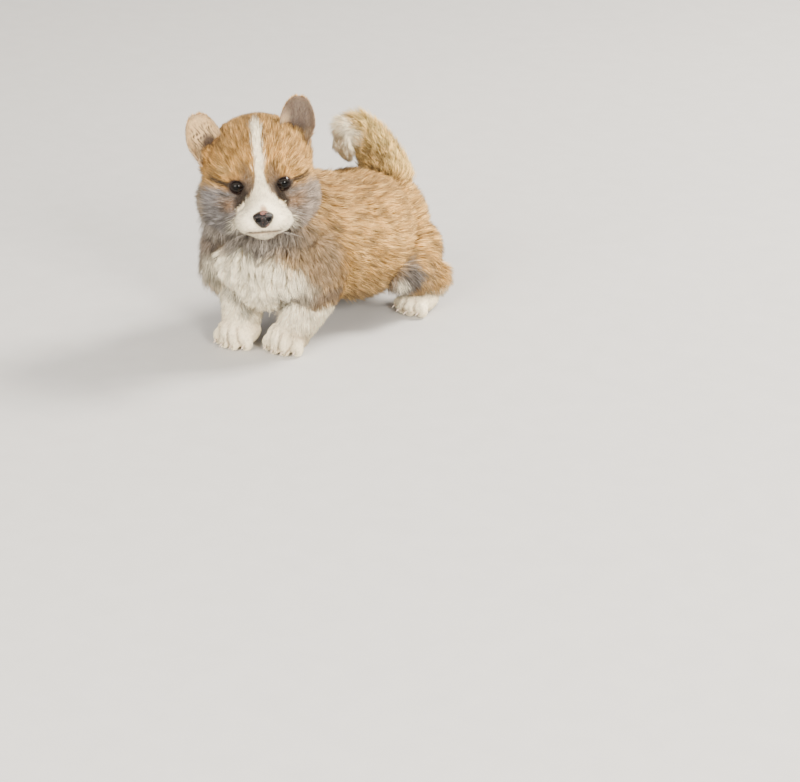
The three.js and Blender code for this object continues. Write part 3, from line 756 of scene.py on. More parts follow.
def round_eye(tint, head, side):
    """Pale brow, smoky hollow, dark tear line, dark rim and the line behind the eye's corner."""
    tint = mixed(tint, BUFF, (0.4 - 0.2 * side) * spot(head, on_side(side, BROW), BROW_SIZE, 0.8))
    for colour, strength, centre, radii, soft in EYE_OVALS:
        tint = mixed(tint, colour, strength * spot(head, on_side(side, centre), radii, soft))
    tear = band(head, on_side(side, TEAR_TOP), on_side(side, TEAR_FOOT), TEAR_WIDTH)
    tint = mixed(tint, DARK, 0.85 * tear)
    lash_end = on_side(side, (LASH_END[0], LASH_END[1] - side))
    tint = mixed(tint, DARK, 0.9 * band(head, on_side(side, LASH_START), lash_end, LASH_WIDTH))
    return mixed(tint, DARK, 0.95 * spot(head, on_side(side, RIM), RIM_SIZE, 0.4))


def white_of_face(tint, head):
    """The blaze, the muzzle's front and the chin."""
    x, y, z = head.T
    sideways = 1.1 * (z + 22)
    front = np.where(z > -16, 1.0, 1 - fade(y, -8 + sideways, 3 + sideways))
    blaze = 1 - fade(np.abs(x) - np.interp(z, BLAZE_HEIGHTS, BLAZE_WIDTHS), -0.8, 1.4)
    tint = mixed(tint, WHITE, blaze * (y < BLAZE_BACK) * front * (z > LIP_LEVEL))
    muzzle_front = (1 - fade(y, -19, -13)) * (1 - fade(z, -14, -9))
    tint = mixed(tint, WHITE, muzzle_front * (z > LIP_LEVEL))
    chin = (1 - fade(z, -27, -24)) * (1 - fade(y, -8, 2)) * (1 - fade(np.abs(x), 22, 28))
    return mixed(tint, WHITE, 0.95 * chin)


def head_colours(head):
    """Colours of the head at points in its own axes."""
    off_lips = fade(np.abs(head[:, 2] - CLEAN_LIPS), 3, 8)
    head = head + (ragged(head, HEAD_RAGGED, HEAD_WAVES) - head) * off_lips[:, None]
    x, y, z = head.T
    tint = mixed(plain(FAWN, len(head)), BROWN, 0.25 * fade(z, CROWN_LOW, CROWN_HIGH))
    cheek = (1 - fade(z, CHEEK_TOP, CHEEK_BLEND)) * fade(np.abs(x), CHEEK_INNER, CHEEK_OUTER)
    # the right cheek greyer than the left: partly tan fur on the left, partly painted shade on the right side
    tint = mixed(tint, CHEEK, (0.95 - 0.12 * (x > 0)) * cheek)
    # painted shade: a brown oval darkens only the left brow, which faces the lamps
    tint = mixed(tint, BROWN, 0.35 * spot(head, (30, 0, 18), (22, 24, 16), 0.9))
    tint = mixed(tint, BUFF, 0.3 * fade(np.abs(x), TEMPLE_INNER, TEMPLE_OUTER))
    for side in SIDES:
        tint = round_eye(tint, head, side)
    tint = white_of_face(tint, head)
    tint = mixed(tint, BLUSH, 0.55 * spot(head, NOSE_BRIDGE, NOSE_BRIDGE_SIZE, 0.8))
    mouth = np.exp(-((z - mouth_line(x)) / LINE_WIDTH) ** 2)
    mouth *= (1 - fade(np.abs(x), LINE_WHOLE, LINE_END)) * (y < MOUTH_BACK)
    return mixed(tint, LIP, mouth)


# %% Markings of the whole puppy
def markings(points, shares):
    """Colours of the coat at some points of the frame."""
    on_face = of_kinds(shares, "skull", "cheek", "muzzle", "jaw")
    return mixed(body_colours(in_axes(points, BODY), shares), head_colours(in_axes(points, HEAD)), on_face)


skin_tints = markings(skin_points, skin_kinds)
print("mean colour of the coat", skin_tints.mean(axis=0).round(2))

# %% [markdown]
# ## The skin's finish
#
# The skin shows only between hairs, so it carries the coat's colours, darkened as painted shade in the gaps
# between hairs and a little warmer, with a fine bump like the stubble of the undercoat. Under white hair the
# painted shade is faint and the skin almost as pale as the hair. The colours lie in an attribute of the mesh,
# which the material reads, so they stay on the surface from every side.

# %% Colours on a mesh, and materials that read them
# painted shade of the skin in the gaps between hairs: deep under coloured hair and faint under white
SKIN_GAP_SHADE, PALE_SKIN_GAP_SHADE = (0.58, 0.5, 0.42), (0.95, 0.91, 0.86)
LEG_NODES = [f"{part}_{side}" for part in ("foreleg", "forepaw", "hindleg", "hindpaw")
             for side in ("left", "right")]


def paint(mesh, tints):
    layer = mesh.color_attributes.new("tint", "FLOAT_COLOR", "POINT")
    layer.data.foreach_set("color", np.column_stack([tints, np.ones(len(tints))]).ravel())


def new_material(name, roughness, specular=0.5):
    material = bpy.data.materials.new(name)
    material.use_nodes = True
    shader = material.node_tree.nodes["Principled BSDF"]
    shader.inputs["Roughness"].default_value = roughness
    shader.inputs["Specular IOR Level"].default_value = specular
    return material, shader


def add_node(material, kind, **inputs):
    node = material.node_tree.nodes.new(kind)
    for name, value in inputs.items():
        node.inputs[name].default_value = value
    return node


def link(material, output, target):
    material.node_tree.links.new(output, target)


def tinted(material, shader, scale, strength):
    """Colours a material by the mesh's own tint, varied a little by noise of the given scale."""
    tint = add_node(material, "ShaderNodeAttribute")
    tint.attribute_name = "tint"
    where = add_node(material, "ShaderNodeTexCoord")
    grain = add_node(material, "ShaderNodeTexNoise", Scale=scale, Detail=4.0)
    link(material, where.outputs["Object"], grain.inputs["Vector"])
    spread = add_node(material, "ShaderNodeMapRange")
    spread.inputs["To Min"].default_value = 1 - strength
    spread.inputs["To Max"].default_value = 1 + strength
    link(material, grain.outputs["Fac"], spread.inputs["Value"])
    vary = add_node(material, "ShaderNodeVectorMath")
    vary.operation = "SCALE"
    link(material, tint.outputs["Color"], vary.inputs[0])
    link(material, spread.outputs["Result"], vary.inputs["Scale"])
    link(material, vary.outputs["Vector"], shader.inputs["Base Color"])
    return grain


def bumped(material, shader, height, strength, distance):
    bump = add_node(material, "ShaderNodeBump", Strength=strength, Distance=distance)
    link(material, height, bump.inputs["Height"])
    link(material, bump.outputs["Normal"], shader.inputs["Normal"])


def finish_piece(piece, material):
    piece.data.materials.clear()
    piece.data.materials.append(material)
    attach(piece, "root")


# %% Finish the skin
skin_finish, skin_shader = new_material("coat under the hair", roughness=0.85, specular=0.25)
skin_grain = tinted(skin_finish, skin_shader, scale=900, strength=0.25)
bumped(skin_finish, skin_shader, skin_grain.outputs["Fac"], strength=0.6, distance=0.0008)
# the skin's colours darkened by painted shade, less where the hair is pale
paleness = fade(skin_tints.mean(axis=1), 0.6, 0.85)
paint(skin.data, skin_tints * mixed(plain(SKIN_GAP_SHADE, len(skin_tints)), PALE_SKIN_GAP_SHADE, paleness))
skin.data.shade_smooth()
finish_piece(skin, skin_finish)
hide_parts("head", "jaw", "neck", "torso", "tail_root", "tail_curl", "tail_tip", *LEG_NODES)
print("skin finished")

# %% [markdown]
# ## Eyes
#
# A puppy's eye is nearly black: a wide pupil in a very dark brown iris, under a clear wet cornea that bulges
# a little. One ball gives all of it. Its pole looks forward, its points are pushed out at the cornea, and
# the rings of pupil, iris and white are painted on its points by their distance from the pole.

# %% Eyeballs
PUPIL, IRIS, RING_BLUR, IRIS_BLUR = 2.5, 4.9, 0.5, 0.9
CORNEA_BULGE, CORNEA_TOP, CORNEA_EDGE, CORNEA_IOR = 0.35, 1, 5.2, 1.26
FAR_OFF = 99
PUPIL_TINT, IRIS_TINT = (0.001, 0.001, 0.001), (0.006, 0.0032, 0.002)
IRIS_EDGE, EYE_WHITE = (0.002, 0.001, 0.001), (0.02, 0.012, 0.01)


def settle(piece, axes):
    """Puts a piece that is modelled at the origin, in millimetres, at its place in the frame."""
    deselect()
    piece.select_set(True)
    bpy.context.view_layer.objects.active = piece
    piece.matrix_world = axes
    bpy.ops.object.transform_apply(location=True, rotation=True, scale=True)


eye_finish, eye_shader = new_material("wet eye", roughness=0.04, specular=0.4)
eye_shader.inputs["IOR"].default_value = CORNEA_IOR
tinted(eye_finish, eye_shader, scale=700, strength=0.3)
for side, name in zip(SIDES, ("left", "right")):
    deselect()
    bpy.ops.mesh.primitive_uv_sphere_add(segments=64, ring_count=40, radius=EYE_RADIUS)
    eyeball = bpy.context.object
    eyeball.name = f"eyeball_{name}"
    points = points_of(eyeball)
    off_axis = np.where(points[:, 2] > 0, np.hypot(points[:, 0], points[:, 1]), FAR_OFF)
    points *= 1 + (CORNEA_BULGE / EYE_RADIUS * (1 - fade(off_axis, CORNEA_TOP, CORNEA_EDGE)))[:, None]
    set_points(eyeball, points)
    tints = plain(EYE_WHITE, len(points))
    tints = mixed(tints, IRIS_EDGE, 1 - fade(off_axis, IRIS, IRIS + RING_BLUR))
    tints = mixed(tints, IRIS_TINT, 1 - fade(off_axis, IRIS - IRIS_BLUR, IRIS))
    tints = mixed(tints, PUPIL_TINT, 1 - fade(off_axis, PUPIL, PUPIL + RING_BLUR))
    paint(eyeball.data, tints)
    eyeball.data.shade_smooth()
    settle(eyeball, gaze(side) @ Matrix.Rotation(math.radians(90), 4, "X"))
    finish_piece(eyeball, eye_finish)
    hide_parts(f"eye_{name}")
print("two eyeballs of", 2 * EYE_RADIUS, "mm")

# %% [markdown]
# ## Eyelids
#
# The lids are dark rolls of bare skin that lie on the ball. The upper one is thicker and the inner corner
# runs to a point. A torus already has the roll's section, so each of its points is only carried to the same
# place round the opening, at the height of the ball there.

# %% Eyelids
LID_LOWER, LID_UPPER, LID_FLATNESS, LID_SINK = 0.7, 1.1, 0.75, 0.1
LID_MARGIN = 0.25
CORNER_SHARPNESS, INNER_CORNER, INNER_DROP, OUTER_CORNER = 8, 1.5, 0.7, 0.5
RING_RADIUS, RING_SECTION = 1, 0.2
LID_TINT = (0.007, 0.005, 0.004)


def lid_points(points, side):
    """The torus's points, each carried to its place on the roll round the opening."""
    around = np.arctan2(points[:, 1], points[:, 0])
    off = (np.hypot(points[:, 0], points[:, 1]) - RING_RADIUS) / RING_SECTION
    rise = points[:, 2] / RING_SECTION
    inner = np.maximum(-side * np.cos(around), 0) ** CORNER_SHARPNESS
    outer = np.maximum(side * np.cos(around), 0) ** CORNER_SHARPNESS
    wide = EYE_OPENING[0] + LID_MARGIN + INNER_CORNER * inner + OUTER_CORNER * outer
    high = EYE_OPENING[1] + LID_MARGIN
    thick = LID_LOWER + (LID_UPPER - LID_LOWER) * fade(np.sin(around), -0.2, 0.7)
    x, z = wide * np.cos(around), high * np.sin(around) - INNER_DROP * inner
    away = np.hypot(x / wide, z / high)
    out_x, out_z = x / wide / away, z / high / away
    deep = np.sqrt(np.maximum(EYE_RADIUS ** 2 - x ** 2 - z ** 2, 1))
    y = LID_SINK - deep - rise * thick * LID_FLATNESS
    return np.stack([x + out_x * off * thick, y, z + out_z * off * thick], axis=1)


def face_outwards(piece):
    """Turns all faces of a piece outwards."""
    bpy.context.view_layer.objects.active = piece
    bpy.ops.object.mode_set(mode="EDIT")
    bpy.ops.mesh.select_all(action="SELECT")
    bpy.ops.mesh.normals_make_consistent(inside=False)
    bpy.ops.object.mode_set(mode="OBJECT")


lid_finish, lid_shader = new_material("dark lid skin", roughness=0.6, specular=0.12)
lid_grain = tinted(lid_finish, lid_shader, scale=1800, strength=0.35)
bumped(lid_finish, lid_shader, lid_grain.outputs["Fac"], strength=0.5, distance=0.0003)
for side, name in zip(SIDES, ("left", "right")):
    deselect()
    bpy.ops.mesh.primitive_torus_add(
        major_segments=80, minor_segments=14, major_radius=RING_RADIUS, minor_radius=RING_SECTION)
    lid = bpy.context.object
    lid.name = f"eyelid_{name}"
    set_points(lid, lid_points(points_of(lid), side))
    paint(lid.data, plain(LID_TINT, len(lid.data.vertices)))
    lid.data.shade_smooth()
    settle(lid, gaze(side))
    face_outwards(lid)
    finish_piece(lid, lid_finish)
print("two pairs of lids")

# %% [markdown]
# ## Nose
#
# The nose is a cushion of black leather, broad and flat above and narrower below, with two comma-shaped
# nostrils and a groove down its middle. Extruded nostrils would leave hard edges, so a sphere of many points
# is pressed into that shape. Its leather is a bump of small cells, and a pup's nose still has a little pink.

# %% Shape of the nose
NOSE_AT, NOSE_SIZE = (0, -38, -19.5), (8.0, 6.2, 7.9)
NOSE_WIDER_ABOVE, NOSE_NARROWER_BELOW, NOSE_FLATTER, NOSE_LEAN = 0.16, 0.22, 1.2, 0.9
NOSTRIL_AT, NOSTRIL_DEPTH, NOSTRIL_SIZE = (4.1, 0.2), 3.4, (2.0, 1.7)
SLIT_START, SLIT_DROP, SLIT_SLOPE, SLIT_SIZE = 2.2, 0.9, 0.25, (2.6, 0.7)
GROOVE_HALF_WIDTH, NOSE_GROOVE_DEPTH = 0.5, 0.9


def nostrils(points):
    """One inside the round holes and the slits that run out of them to the sides."""
    holes = np.zeros(len(points))
    for side in SIDES:
        x, z = side * points[:, 0] - NOSTRIL_AT[0], points[:, 2] - NOSTRIL_AT[1]
        round_hole = np.hypot(x / NOSTRIL_SIZE[0], z / NOSTRIL_SIZE[1])
        slit_z = z + SLIT_DROP + SLIT_SLOPE * x
        slit = np.hypot((x - SLIT_START) / SLIT_SIZE[0], slit_z / SLIT_SIZE[1])
        hole = 1 - fade(np.minimum(round_hole, slit), 0.55, 1.15)
        holes = np.maximum(holes, hole * (points[:, 1] < 1))
    return holes


deselect()
bpy.ops.mesh.primitive_uv_sphere_add(segments=128, ring_count=96)
nose = bpy.context.object
nose.name = "nose_pad"
points = points_of(nose) * np.array(NOSE_SIZE)
wider, narrower = fade(points[:, 2], -2, 4), fade(-points[:, 2], 0, 7)
points[:, 0] *= 1 + NOSE_WIDER_ABOVE * wider - NOSE_NARROWER_BELOW * narrower
points[:, 2] -= NOSE_FLATTER * fade(points[:, 2], 2, 7)
points[:, 1] -= NOSE_LEAN * fade(points[:, 2], -3, 3) * (points[:, 1] < 0)
holes = nostrils(points)
groove = np.exp(-(points[:, 0] / GROOVE_HALF_WIDTH) ** 2) * (points[:, 1] < 0)
groove *= 0.35 + 0.65 * fade(-points[:, 2], -3, 2)
points[:, 1] += NOSTRIL_DEPTH * holes + NOSE_GROOVE_DEPTH * groove
set_points(nose, points)
print("nose", 2 * NOSE_SIZE[0], "mm wide")

# %% Leather of the nose
NOSE_BLACK, NOSE_PINK, NOSTRIL_BLACK = (0.008, 0.006, 0.006), (0.34, 0.16, 0.13), (0.004, 0.004, 0.004)
PINK_TOP, PINK_TOP_SIZE = (0.5, -4, 6.2), (4.8, 6, 3.0)
PINK_BELOW, PINK_BELOW_SIZE = (3.6, -4, -5.2), (3.2, 6, 2.6)
pink = spot(points, PINK_TOP, PINK_TOP_SIZE, 0.8) + 0.8 * spot(points, PINK_BELOW, PINK_BELOW_SIZE, 0.8)
flecks = np.array([noise.noise(Vector(p) * 1.1) for p in points])
pink = fade(pink + 0.9 * flecks, 0.35, 0.8)
tints = mixed(plain(NOSE_BLACK, len(points)), NOSE_PINK, 0.5 * pink * (1 - holes))
paint(nose.data, mixed(tints, NOSTRIL_BLACK, 0.9 * holes))
nose.data.shade_smooth()
settle(nose, HEAD @ Matrix.Translation(NOSE_AT))
nose_finish, nose_shader = new_material("nose leather", roughness=0.22, specular=0.3)
tinted(nose_finish, nose_shader, scale=1200, strength=0.35)
cells = add_node(nose_finish, "ShaderNodeTexVoronoi", Scale=1500.0)
where = add_node(nose_finish, "ShaderNodeTexCoord")
link(nose_finish, where.outputs["Object"], cells.inputs["Vector"])
bumped(nose_finish, nose_shader, cells.outputs["Distance"], strength=0.55, distance=0.0005)
finish_piece(nose, nose_finish)
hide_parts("nose")
print("nose leather with", int((pink > 0.5).sum()), "pink points")

# %% [markdown]
# ## Ears
#
# An ear is a cupped leaf of thin flesh, wide at the base and rounded at the tip. A flat grid is the simplest
# start: each of its points has one number across and one along, and both give its place on the leaf.
# Solidify then gives the flesh its thickness, and a subdivision rounds the rim.

# %% Ears
EAR_LENGTH, EAR_WIDTH, EAR_FLESH = 42, 28.5, 1.5
EAR_WIDEST, BASE_WIDTH, SIDE_SLOPE = 0.45, 0.64, 0.81
BEND_AT_BASE, BEND_AT_TIP, EAR_BULGE = 1.35, 0.5, 2.2
EAR_TIP_ALONG = 0.995
# side, base, tip and how far the cup is turned outwards
EARS = [("left", (31, 28, 27), (39, 27, 72), 0.1), ("right", (-37, 28, 19), (-49, 27, 60), -0.1)]


def leaf_half(along):
    """Half the leaf's width at a share of its length."""
    tip = np.sqrt(np.maximum(1 - ((along - EAR_WIDEST) / (1 - EAR_WIDEST)) ** 2, 0))
    return EAR_WIDTH / 2 * np.where(along < EAR_WIDEST, BASE_WIDTH + SIDE_SLOPE * along, tip)


def leaf(across, along):
    """Place on the leaf's outer side: across from -1 to 1, along from 0 at the base to 1 at the tip."""
    bend = BEND_AT_BASE + (BEND_AT_TIP - BEND_AT_BASE) * along
    radius = leaf_half(along) / np.sin(bend)
    outer = radius + EAR_BULGE * (1 - 0.75 * across ** 4) * (1 - 0.6 * along)
    aside, back = outer * np.sin(across * bend), outer * np.cos(across * bend) - radius
    return np.stack([aside, back, along * EAR_LENGTH], axis=1)


def ear_axes(base, tip, turn):
    """The leaf stands from base to tip and opens towards the front of the head."""
    z = (Vector(tip) - Vector(base)).normalized()
    y = Vector((-turn, 1, -0.1))
    y = (y - z * y.dot(z)).normalized()
    x = y.cross(z)
    return HEAD @ Matrix.Translation(base) @ Matrix((x, y, z)).transposed().to_4x4()


ears = {}
for name, base, tip, turn in EARS:
    deselect()
    bpy.ops.mesh.primitive_grid_add(x_subdivisions=30, y_subdivisions=40, size=2)
    ear = bpy.context.object
    ear.name = f"ear_flesh_{name}"
    across, along = points_of(ear)[:, 0], (points_of(ear)[:, 1] + 1) / 2 * EAR_TIP_ALONG
    set_points(ear, leaf(across, along))
    applied(ear, "SOLIDIFY", thickness=EAR_FLESH, offset=0)
    applied(ear, "SUBSURF", levels=1, render_levels=1)
    face_outwards(ear)
    ear.data.shade_smooth()
    ears[name] = ear
    settle(ear, ear_axes(base, tip, turn))
print("ears", EAR_LENGTH, "mm long")

# %% [markdown]
# ## Ear colours
#
# The backs are fawn like the crown. The left cup is grey-brown, darkened with painted shade because it lies
# in shade, with a pale band on the side of the head. The right cup is cream, crossed by fine dark veins. Both
# cups have a dark hollow near the base, painted shade for the ear's opening. The colour of a point is found
# from its place on the leaf, and whether it lies in the cup or on the back.

# %% Colours of the ears
EAR_BACK, EAR_RIM = (0.54, 0.31, 0.10), (0.16, 0.10, 0.06)
# the left cup's colour holds painted shade; the hollow is painted shade for the ear's opening
CUPS = {"left": (0.115, 0.08, 0.056), "right": (0.56, 0.38, 0.19)}
CUP_BASE, CUP_HOLLOW_SHADE = (0.50, 0.36, 0.22), (0.02, 0.01, 0.012)
VEINS_AND_HOLLOW_SHADE = {"left": 0.45, "right": 1.0}
HOLLOW_AT, HOLLOW_SIZE = (2.5, 15), (9, 12)
PALE_BAND_START, PALE_BAND_WHOLE = 4, 9


def veins_at(local, along, across):
    """One on the branching lines of the cup, which end before the tip and the rim."""
    x, z = local[:, 0], local[:, 2]
    stems = np.sin(1.9 * x + 2.5 * np.sin(0.45 * z + 0.3 * x))
    veins = 0.9 * fade(stems * np.sin(0.5 * z + x), 0.0, 0.3) * (1 - fade(along, 0.6, 0.95))
    return veins * (1 - fade(across, 0.6, 0.9))


def ear_colours(local, inward, name):
    """Colours at points in the leaf's own millimetres; inward is 1 in the cup and 0 on the back."""
    along = np.clip(local[:, 2] / EAR_LENGTH, 0, EAR_TIP_ALONG)
    across = np.abs(local[:, 0]) / np.maximum(leaf_half(along), 1)
    cup = mixed(plain(CUPS[name], len(local)), CUP_BASE, 0.8 * (1 - fade(along, 0.05, 0.45)))
    # painted shade of the ear's opening, mixed with the real veins
    hollow = spot(local[:, [0, 2]] - np.array(HOLLOW_AT), (0, 0), HOLLOW_SIZE, 0.6)
    shade = np.maximum(veins_at(local, along, across), 0.9 * hollow)
    cup = mixed(cup, CUP_HOLLOW_SHADE, shade * VEINS_AND_HOLLOW_SHADE[name])
    if name == "left":
        pale_band = fade(-local[:, 0], PALE_BAND_START, PALE_BAND_WHOLE) * (1 - fade(along, 0.45, 0.8))
        cup = mixed(cup, CUP_BASE, 0.8 * pale_band)
    rim = np.maximum(fade(across, 0.84, 0.97), fade(along, 0.88, 0.97))
    cup = mixed(cup, EAR_RIM, 0.45 * rim)
    back = plain(EAR_BACK, len(local))
    return back + (cup - back) * inward[:, None]


def on_ear(points, normals, axes):
    """Points in the leaf's own millimetres, and how far each faces into the cup."""
    facing = normals @ (np.array(axes)[:3, :3] / MM)
    return in_axes(points, axes), fade(-facing[:, 1], -0.2, 0.35)


# %% Finish the ears
ear_finish, ear_shader = new_material("ear skin", roughness=0.6, specular=0.35)
ear_grain = tinted(ear_finish, ear_shader, scale=1100, strength=0.25)
bumped(ear_finish, ear_shader, ear_grain.outputs["Fac"], strength=0.5, distance=0.0005)
ear_shader.inputs["Subsurface Weight"].default_value = 0.15
ear_shader.inputs["Subsurface Radius"].default_value = (0.004, 0.0015, 0.001)
for name, base, tip, turn in EARS:
    local, inward = on_ear(points_of(ears[name]), normals_of(ears[name]), ear_axes(base, tip, turn))
    paint(ears[name].data, ear_colours(local, inward, name))
    finish_piece(ears[name], ear_finish)
    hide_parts(f"ear_{name}")
print("ears painted")

# %% [markdown]
# ## Claws
#
# Each toe ends in a small curved claw of translucent horn. A bent curve with a taper would do as well, but a
# sphere is closed from the start: its points are drawn thinner and bent down towards the tip. Each claw
# stands at its own toe, and all are joined into one piece.

# %% Claws
CLAW_LENGTH, CLAW_RADIUS, CLAW_HEIGHT, CLAW_DROP = 5.2, 1.15, 6.0, 1.9
CLAW_TAPER, CLAW_TAPER_CURVE, CLAW_FLATNESS, CLAW_REACH = 0.72, 1.6, 0.8, 0.12
CLAW_TINT = (0.52, 0.42, 0.33)
claw_finish, claw_shader = new_material("horn", roughness=0.32, specular=0.5)
tinted(claw_finish, claw_shader, scale=1500, strength=0.3)


def claw_points(points):
    """A sphere's points, drawn out into a claw that points along -y."""
    share = (1 - points[:, 1]) / 2
    thin = CLAW_RADIUS * (1 - CLAW_TAPER * share ** CLAW_TAPER_CURVE)
    x, y = points[:, 0] * (thin * CLAW_FLATNESS), points[:, 1] * (CLAW_LENGTH / 2)
    return np.stack([x, y, points[:, 2] * thin - CLAW_DROP * share ** 2], axis=1)


all_claws = []
for leg in LEGS:
    heading, toes = toes_of(leg)
    turn = math.atan2(heading.x, -heading.y)
    for toe in toes:
        bpy.ops.mesh.primitive_uv_sphere_add(segments=16, ring_count=14)
        claw = bpy.context.object
        set_points(claw, claw_points(points_of(claw)))
        ahead = heading * (TOE_RADIUS + CLAW_LENGTH * CLAW_REACH)
        root = toe + ahead + Vector((0, 0, CLAW_HEIGHT))
        settle(claw, BODY @ Matrix.Translation(root) @ Matrix.Rotation(turn, 4, "Z"))
        all_claws.append(claw)
print(len(all_claws), "claws")
claws = joined(all_claws, "claws")
paint(claws.data, plain(CLAW_TINT, len(claws.data.vertices)))
claws.data.shade_smooth()
finish_piece(claws, claw_finish)

# %% [markdown]
# ## An unwrap of the skin for the coat
#
# Each tuft takes one small patch of a map, at the place where its root stands on the skin's own unwrap. An
# unwrap of the fine skin would be slow and full of small islands. So a coarse copy of the skin is unwrapped,
# and the root's nearest face on it gives the patch.

# %% Unwrap a coarse copy
COARSE_VOXEL = 0.005
ISLAND_ANGLE, ISLAND_MARGIN = 66, 0.004
deselect()
skin.select_set(True)
bpy.context.view_layer.objects.active = skin
bpy.ops.object.duplicate()
coarse = bpy.context.object
for mark in list(coarse.keys()):
    del coarse[mark]
applied(coarse, "REMESH", mode="VOXEL", voxel_size=COARSE_VOXEL)
applied(coarse, "TRIANGULATE")
bpy.ops.object.mode_set(mode="EDIT")
bpy.ops.mesh.select_all(action="SELECT")
bpy.ops.uv.smart_project(angle_limit=math.radians(ISLAND_ANGLE), island_margin=ISLAND_MARGIN)
bpy.ops.object.mode_set(mode="OBJECT")
coarse_points = points_of(coarse)
coarse_faces = np.empty(len(coarse.data.polygons) * 3, dtype=np.int64)
coarse.data.polygons.foreach_get("vertices", coarse_faces)
coarse_faces = coarse_faces.reshape(-1, 3)
coarse_map = np.empty(len(coarse.data.loops) * 2)
coarse.data.uv_layers.active.data.foreach_get("uv", coarse_map)
coarse_map = coarse_map.reshape(-1, 3, 2)
coarse_tree = BVHTree.FromPolygons(coarse_points.tolist(), coarse_faces.tolist())
bpy.data.objects.remove(coarse)
print("unwrapped", len(coarse_faces), "faces")


# %% A root's place on the map
def on_map(points):
    """The place on the unwrap of the points' nearest faces."""
    found = np.array([coarse_tree.find_nearest(Vector(p))[2] for p in points], dtype=np.int64)
    a, b, c = (coarse_points[coarse_faces[found, k]] for k in range(3))
    flat_b, flat_c, flat_p = b - a, c - a, points - a
    bb, bc = np.sum(flat_b * flat_b, axis=1), np.sum(flat_b * flat_c, axis=1)
    cc = np.sum(flat_c * flat_c, axis=1)
    pb, pc = np.sum(flat_p * flat_b, axis=1), np.sum(flat_p * flat_c, axis=1)
    whole = np.maximum(bb * cc - bc * bc, 1e-18)
    share_b, share_c = (cc * pb - bc * pc) / whole, (bb * pc - bc * pb) / whole
    share_b, share_c = np.clip(share_b, 0, 1), np.clip(share_c, 0, 1)
    total = np.maximum(share_b + share_c, 1)
    share_b, share_c = (share_b / total)[:, None], (share_c / total)[:, None]
    corners = coarse_map[found]
    return corners[:, 0] * (1 - share_b - share_c) + corners[:, 1] * share_b + corners[:, 2] * share_c


# %% [markdown]
# ## One tuft and thousands
#
# A tuft is a thin closed spindle with three sides: it rises from the skin, bends over and ends in a point.
# Hair curves would be quicker to comb, but a model that is passed on as a mesh can't hold them. The roots are
# scattered on the skin's faces, more where the coat is denser. Hairs near each other lean together at their
# tips into small locks, as real coat does. All spindles of one part of the coat are written into one mesh as
# arrays, because that many objects or strokes by hand could not be handled.

# %% Scatter the roots
SEED = 7
rng = np.random.default_rng(SEED)


def faces_of(piece):
    """The piece's faces as triangles."""
    mesh = piece.data
    mesh.calc_loop_triangles()
    flat = np.empty(len(mesh.loop_triangles) * 3, dtype=np.int64)
    mesh.loop_triangles.foreach_get("vertices", flat)
    return flat.reshape(-1, 3)


def scattered(points, faces, density):
    """Picks roots on the faces: the chosen faces and the shares of their corners."""
    a, b, c = (points[faces[:, k]] for k in range(3))
    areas = np.linalg.norm(np.cross(b - a, c - a), axis=1) / 2 / MM ** 2
    hope = areas * density
    number = np.floor(hope).astype(int) + (rng.random(len(hope)) < hope % 1)
    chosen = np.repeat(np.arange(len(faces)), number)
    u, v = rng.random(len(chosen)), rng.random(len(chosen))
    over = u + v > 1
    u[over], v[over] = 1 - u[over], 1 - v[over]
    return chosen, np.stack([1 - u - v, u, v], axis=1)


def at_roots(values, faces, chosen, shares):
    return np.einsum("ij,ijk->ik", shares, values[faces[chosen]])


# %% Locks of hair
CELL_PRIMES = (73856093, 19349663, 83492791)
LOCK_CLOSING = 0.85


def in_cells(roots, size):
    """Sorts roots into cells of a size in mm: one root of each cell, and each root's cell."""
    grid = np.floor(roots / (size[:, None] * MM)).astype(np.int64) * np.array(CELL_PRIMES)
    key = grid[:, 0] ^ grid[:, 1] ^ grid[:, 2]
    return np.unique(key, return_index=True, return_inverse=True)[1:]


def leaning(roots, tips, lock_size, pull):
    """How each tip moves towards the tip of its lock's middle hair, and which lock each hair is in."""
    middle = in_cells(roots, lock_size)[0]
    tree = KDTree(len(middle))
    for i, m in enumerate(middle):
        tree.insert(Vector(roots[m]), i)
    tree.balance()
    near = np.array([tree.find(Vector(p))[1] for p in roots])
    leader = middle[near]
    shift = (roots[leader] - roots) * LOCK_CLOSING + (tips[leader] - roots[leader]) - (tips - roots)
    return shift * pull[:, None], near


# %% Spindles as arrays
TAPERS = (1.0, 0.92, 0.66)
SPINDLE_FLATNESS = 0.6


def spindles(lines, widths, aside):
    """Points and faces of closed three-sided spindles along lines, each ending in one point."""
    count, rings = lines.shape[0], lines.shape[1] - 1
    along = unit(lines[:, -1] - lines[:, 0])
    across = unit(aside)
    upward = np.cross(along, across)
    points = np.empty((count, rings * 3 + 1, 3))
    for r in range(rings):
        for k in range(3):
            turn = 2 * math.pi * k / 3
            out = across * math.cos(turn) + upward * (math.sin(turn) * SPINDLE_FLATNESS)
            points[:, r * 3 + k] = lines[:, r] + out * (widths * TAPERS[r] / 2)[:, None]
    points[:, -1] = lines[:, -1]
    faces = [(0, 2, 1)]
    for r in range(rings - 1):
        for k in range(3):
            a, b = r * 3 + k, r * 3 + (k + 1) % 3
            faces += [(a, b, b + 3), (a, b + 3, a + 3)]
    last = (rings - 1) * 3
    faces += [(last + k, last + (k + 1) % 3, rings * 3) for k in range(3)]
    faces = np.array(faces)
    all_faces = (np.arange(count)[:, None, None] * points.shape[1] + faces).reshape(-1, 3)
    return points, all_faces


# %% A mesh of spindles
PATCH = 0.003


